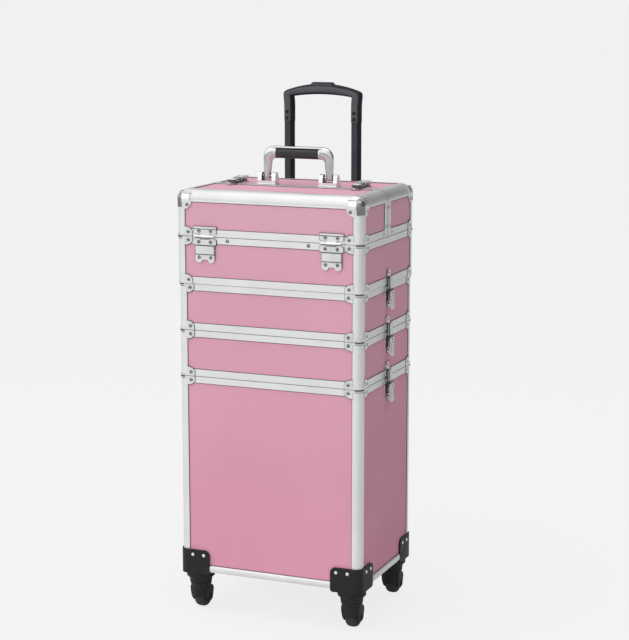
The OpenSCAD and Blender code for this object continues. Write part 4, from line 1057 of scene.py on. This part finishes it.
def trolley_bow(bm):
    """The arched grip with its two arms: flat-sided legs that turn into a rounder bar, with a painted
    highlight on its front and back and painted shade on its top, underside and sides.
    """
    front, side = 0, 1
    turn_in, turn_out, turn_power, lean = 54.4, (69.0, 912.0), 2.5, 0.9
    half = [((x0, z0), (x1, z1), power) for x0, z0, x1, z1, power in ARM]
    half.append(((turn_in, under_at(turn_in)), turn_out, turn_power))
    for x in BAR_STEPS:
        top = (x, arch_at(x, ARM_OUT, BAR_RISE, BAR_TOP))
        half.append(((x * lean, under_at(x * lean)), top, BAR_POWER))
    path = half + [((0.0, BAR_UNDER), (0.0, BAR_TOP), BAR_POWER)]
    path += [((-i[0], i[1]), (-o[0], o[1]), power) for i, o, power in half[::-1]]
    rows = []
    for i, o, power in path:
        rows.append(crowned((GRIP_X + i[0], i[1]), (GRIP_X + o[0], o[1]), BAR_T, power, GRIP_Y, sides=36))
    loft(bm, rows)
    # Front and back faces get the painted highlight, all others the painted shade
    for f in bm.faces:
        across = abs(f.calc_center_median().y - GRIP_Y)
        f.material_index = front if across > BAR_T * FRONT_SHARE else side
    collar(bm, BUTTON_RING, Matrix.Translation((GRIP_X, GRIP_Y, 0)))


def trolley_screws(bm):
    for x in TUBES:
        for z in SCREW_Z:
            for side, y in (("front", GRIP_Y - BAR_T / 2), ("rear", GRIP_Y + BAR_T / 2)):
                lathe(bm, SCREW, wall(side, (x, y, z)), 24)


def tube_collars(bm):
    for x in TUBES:
        collar(bm, TUBE_COLLAR, Matrix.Translation((x, GRIP_Y, 0)))


new_piece("base_trim", base_trim, ALU[0], "base", "aluminium")
bow = new_piece("carry_bow", carry_bow, CHROME, "carry_handle", "chrome")
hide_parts("carry_handle")
soften(new_piece("carry_grip_rings", grip_rings, CHROME, "carry_handle", "chrome"), width=0.4)
grip = new_piece("trolley_bow", trolley_bow, (HANDLE, SHADED_TROLLEY), "trolley_inner", "black_plastic")
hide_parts("trolley_grip")
new_piece("trolley_screws", trolley_screws, BLACK, "trolley_inner", "nickel")
soften(new_piece("tube_collars", tube_collars, BLACK, "trolley_middle", "black_plastic"), width=0.5)

# Floor, light and camera
FLOOR_HALF = 300.0
FLOOR_Z = -0.0004
FLOOR_COLOUR = (0.80, 0.80, 0.80, 1)
FLOOR_SEEN = (0.935, 0.935, 0.935, 1)
FLOOR_SHARE = 0.86
MIRRORED = 0.15
SKY_AXIS = (-0.68, -0.68, 0.22)
SKY_LEVELS = {"From Min": -0.7, "From Max": 0.95, "To Min": 0.05, "To Max": 1.27}
SKY_SEEN = 0.87
CAMERA_AT = (1.2513, -2.9346, 1.0927)
CAMERA_TILT, CAMERA_TURN = 79.757, 22.538
FOCAL_PIXELS, IMAGE_PIXELS, SENSOR = 1835.15, 640.0, 36.0


def ray_share(tree, seen, mirrored):
    """One share for camera rays and another for glossy and transmission rays."""
    path = tree.nodes.new("ShaderNodeLightPath")
    total = None
    shares = (("Is Camera Ray", seen), ("Is Glossy Ray", mirrored), ("Is Transmission Ray", mirrored))
    for key, share in shares:
        part = tree.nodes.new("ShaderNodeMath")
        part.operation = "MULTIPLY_ADD"
        value, factor, addend = part.inputs
        factor.default_value = share
        addend.default_value = 0.0
        tree.links.new(path.outputs[key], value)
        if total:
            tree.links.new(total, addend)
        total = part.outputs[0]
    return total


def stage_plane():
    mesh = bpy.data.meshes.new("floor")
    corners = [(x * FLOOR_HALF, y * FLOOR_HALF, 0) for x, y in ((-1, -1), (1, -1), (1, 1), (-1, 1))]
    mesh.from_pydata(corners, [], [(0, 1, 2, 3)])
    obj = bpy.data.objects.new("floor", mesh)
    bpy.context.scene.collection.objects.link(obj)
    obj.location.z = FLOOR_Z
    mat = bpy.data.materials.new("pale_floor")
    mat.use_nodes = True
    tree = mat.node_tree
    tree.nodes.clear()
    out = tree.nodes.new("ShaderNodeOutputMaterial")
    mix = tree.nodes.new("ShaderNodeMixShader")
    lit = tree.nodes.new("ShaderNodeBsdfDiffuse")
    glow = tree.nodes.new("ShaderNodeEmission")
    lit.inputs["Color"].default_value = FLOOR_COLOUR
    glow.inputs["Color"].default_value = FLOOR_SEEN
    tree.links.new(ray_share(tree, FLOOR_SHARE, MIRRORED), mix.inputs[0])
    tree.links.new(lit.outputs[0], mix.inputs[1])
    tree.links.new(glow.outputs[0], mix.inputs[2])
    tree.links.new(mix.outputs[0], out.inputs["Surface"])
    mesh.materials.append(mat)


def studio_world():
    """Soft light that falls off from the front left to the back right, and an even pale background."""
    world = bpy.data.worlds.new("studio")
    bpy.context.scene.world = world
    world.use_nodes = True
    tree = world.node_tree
    back = tree.nodes["Background"]
    back.inputs["Color"].default_value = (1.0, 1.0, 1.0, 1.0)
    place = tree.nodes.new("ShaderNodeTexCoord")
    dot = tree.nodes.new("ShaderNodeVectorMath")
    dot.operation = "DOT_PRODUCT"
    dot.inputs[1].default_value = Vector(SKY_AXIS).normalized()
    level = tree.nodes.new("ShaderNodeMapRange")
    for key, value in SKY_LEVELS.items():
        level.inputs[key].default_value = value
    factor, light, seen = 0, 2, 3
    pick = tree.nodes.new("ShaderNodeMix")
    pick.data_type = "FLOAT"
    pick.inputs[seen].default_value = SKY_SEEN
    tree.links.new(place.outputs["Generated"], dot.inputs[0])
    tree.links.new(dot.outputs["Value"], level.inputs["Value"])
    tree.links.new(level.outputs["Result"], pick.inputs[light])
    tree.links.new(ray_share(tree, 1.0, MIRRORED), pick.inputs[factor])
    tree.links.new(pick.outputs[0], back.inputs["Strength"])


def lamp(name, place, aim, size, power):
    data = bpy.data.lights.new(name, "AREA")
    data.shape = "DISK"
    data.size = size
    data.energy = power
    obj = bpy.data.objects.new(name, data)
    bpy.context.scene.collection.objects.link(obj)
    obj.location = place
    obj.visible_camera = False
    obj.rotation_euler = (Vector(aim) - Vector(place)).to_track_quat("-Z", "Y").to_euler()


stage_plane()
studio_world()
lamp("key", (-1.7, -2.6, 2.4), (0, 0, 0.45), size=5.0, power=14.0)
lamp("top", (0.2, -0.3, 3.0), (0, 0, 0.5), size=3.0, power=24.0)
camera = bpy.data.objects.new("camera", bpy.data.cameras.new("camera"))
bpy.context.scene.collection.objects.link(camera)
camera.location = CAMERA_AT
camera.rotation_euler = (math.radians(CAMERA_TILT), 0.0, math.radians(CAMERA_TURN))
camera.data.sensor_width = SENSOR
camera.data.lens = FOCAL_PIXELS / IMAGE_PIXELS * SENSOR
camera.data.clip_end = 1000.0
bpy.context.scene.camera = camera
bpy.context.scene.view_settings.view_transform = "Standard"
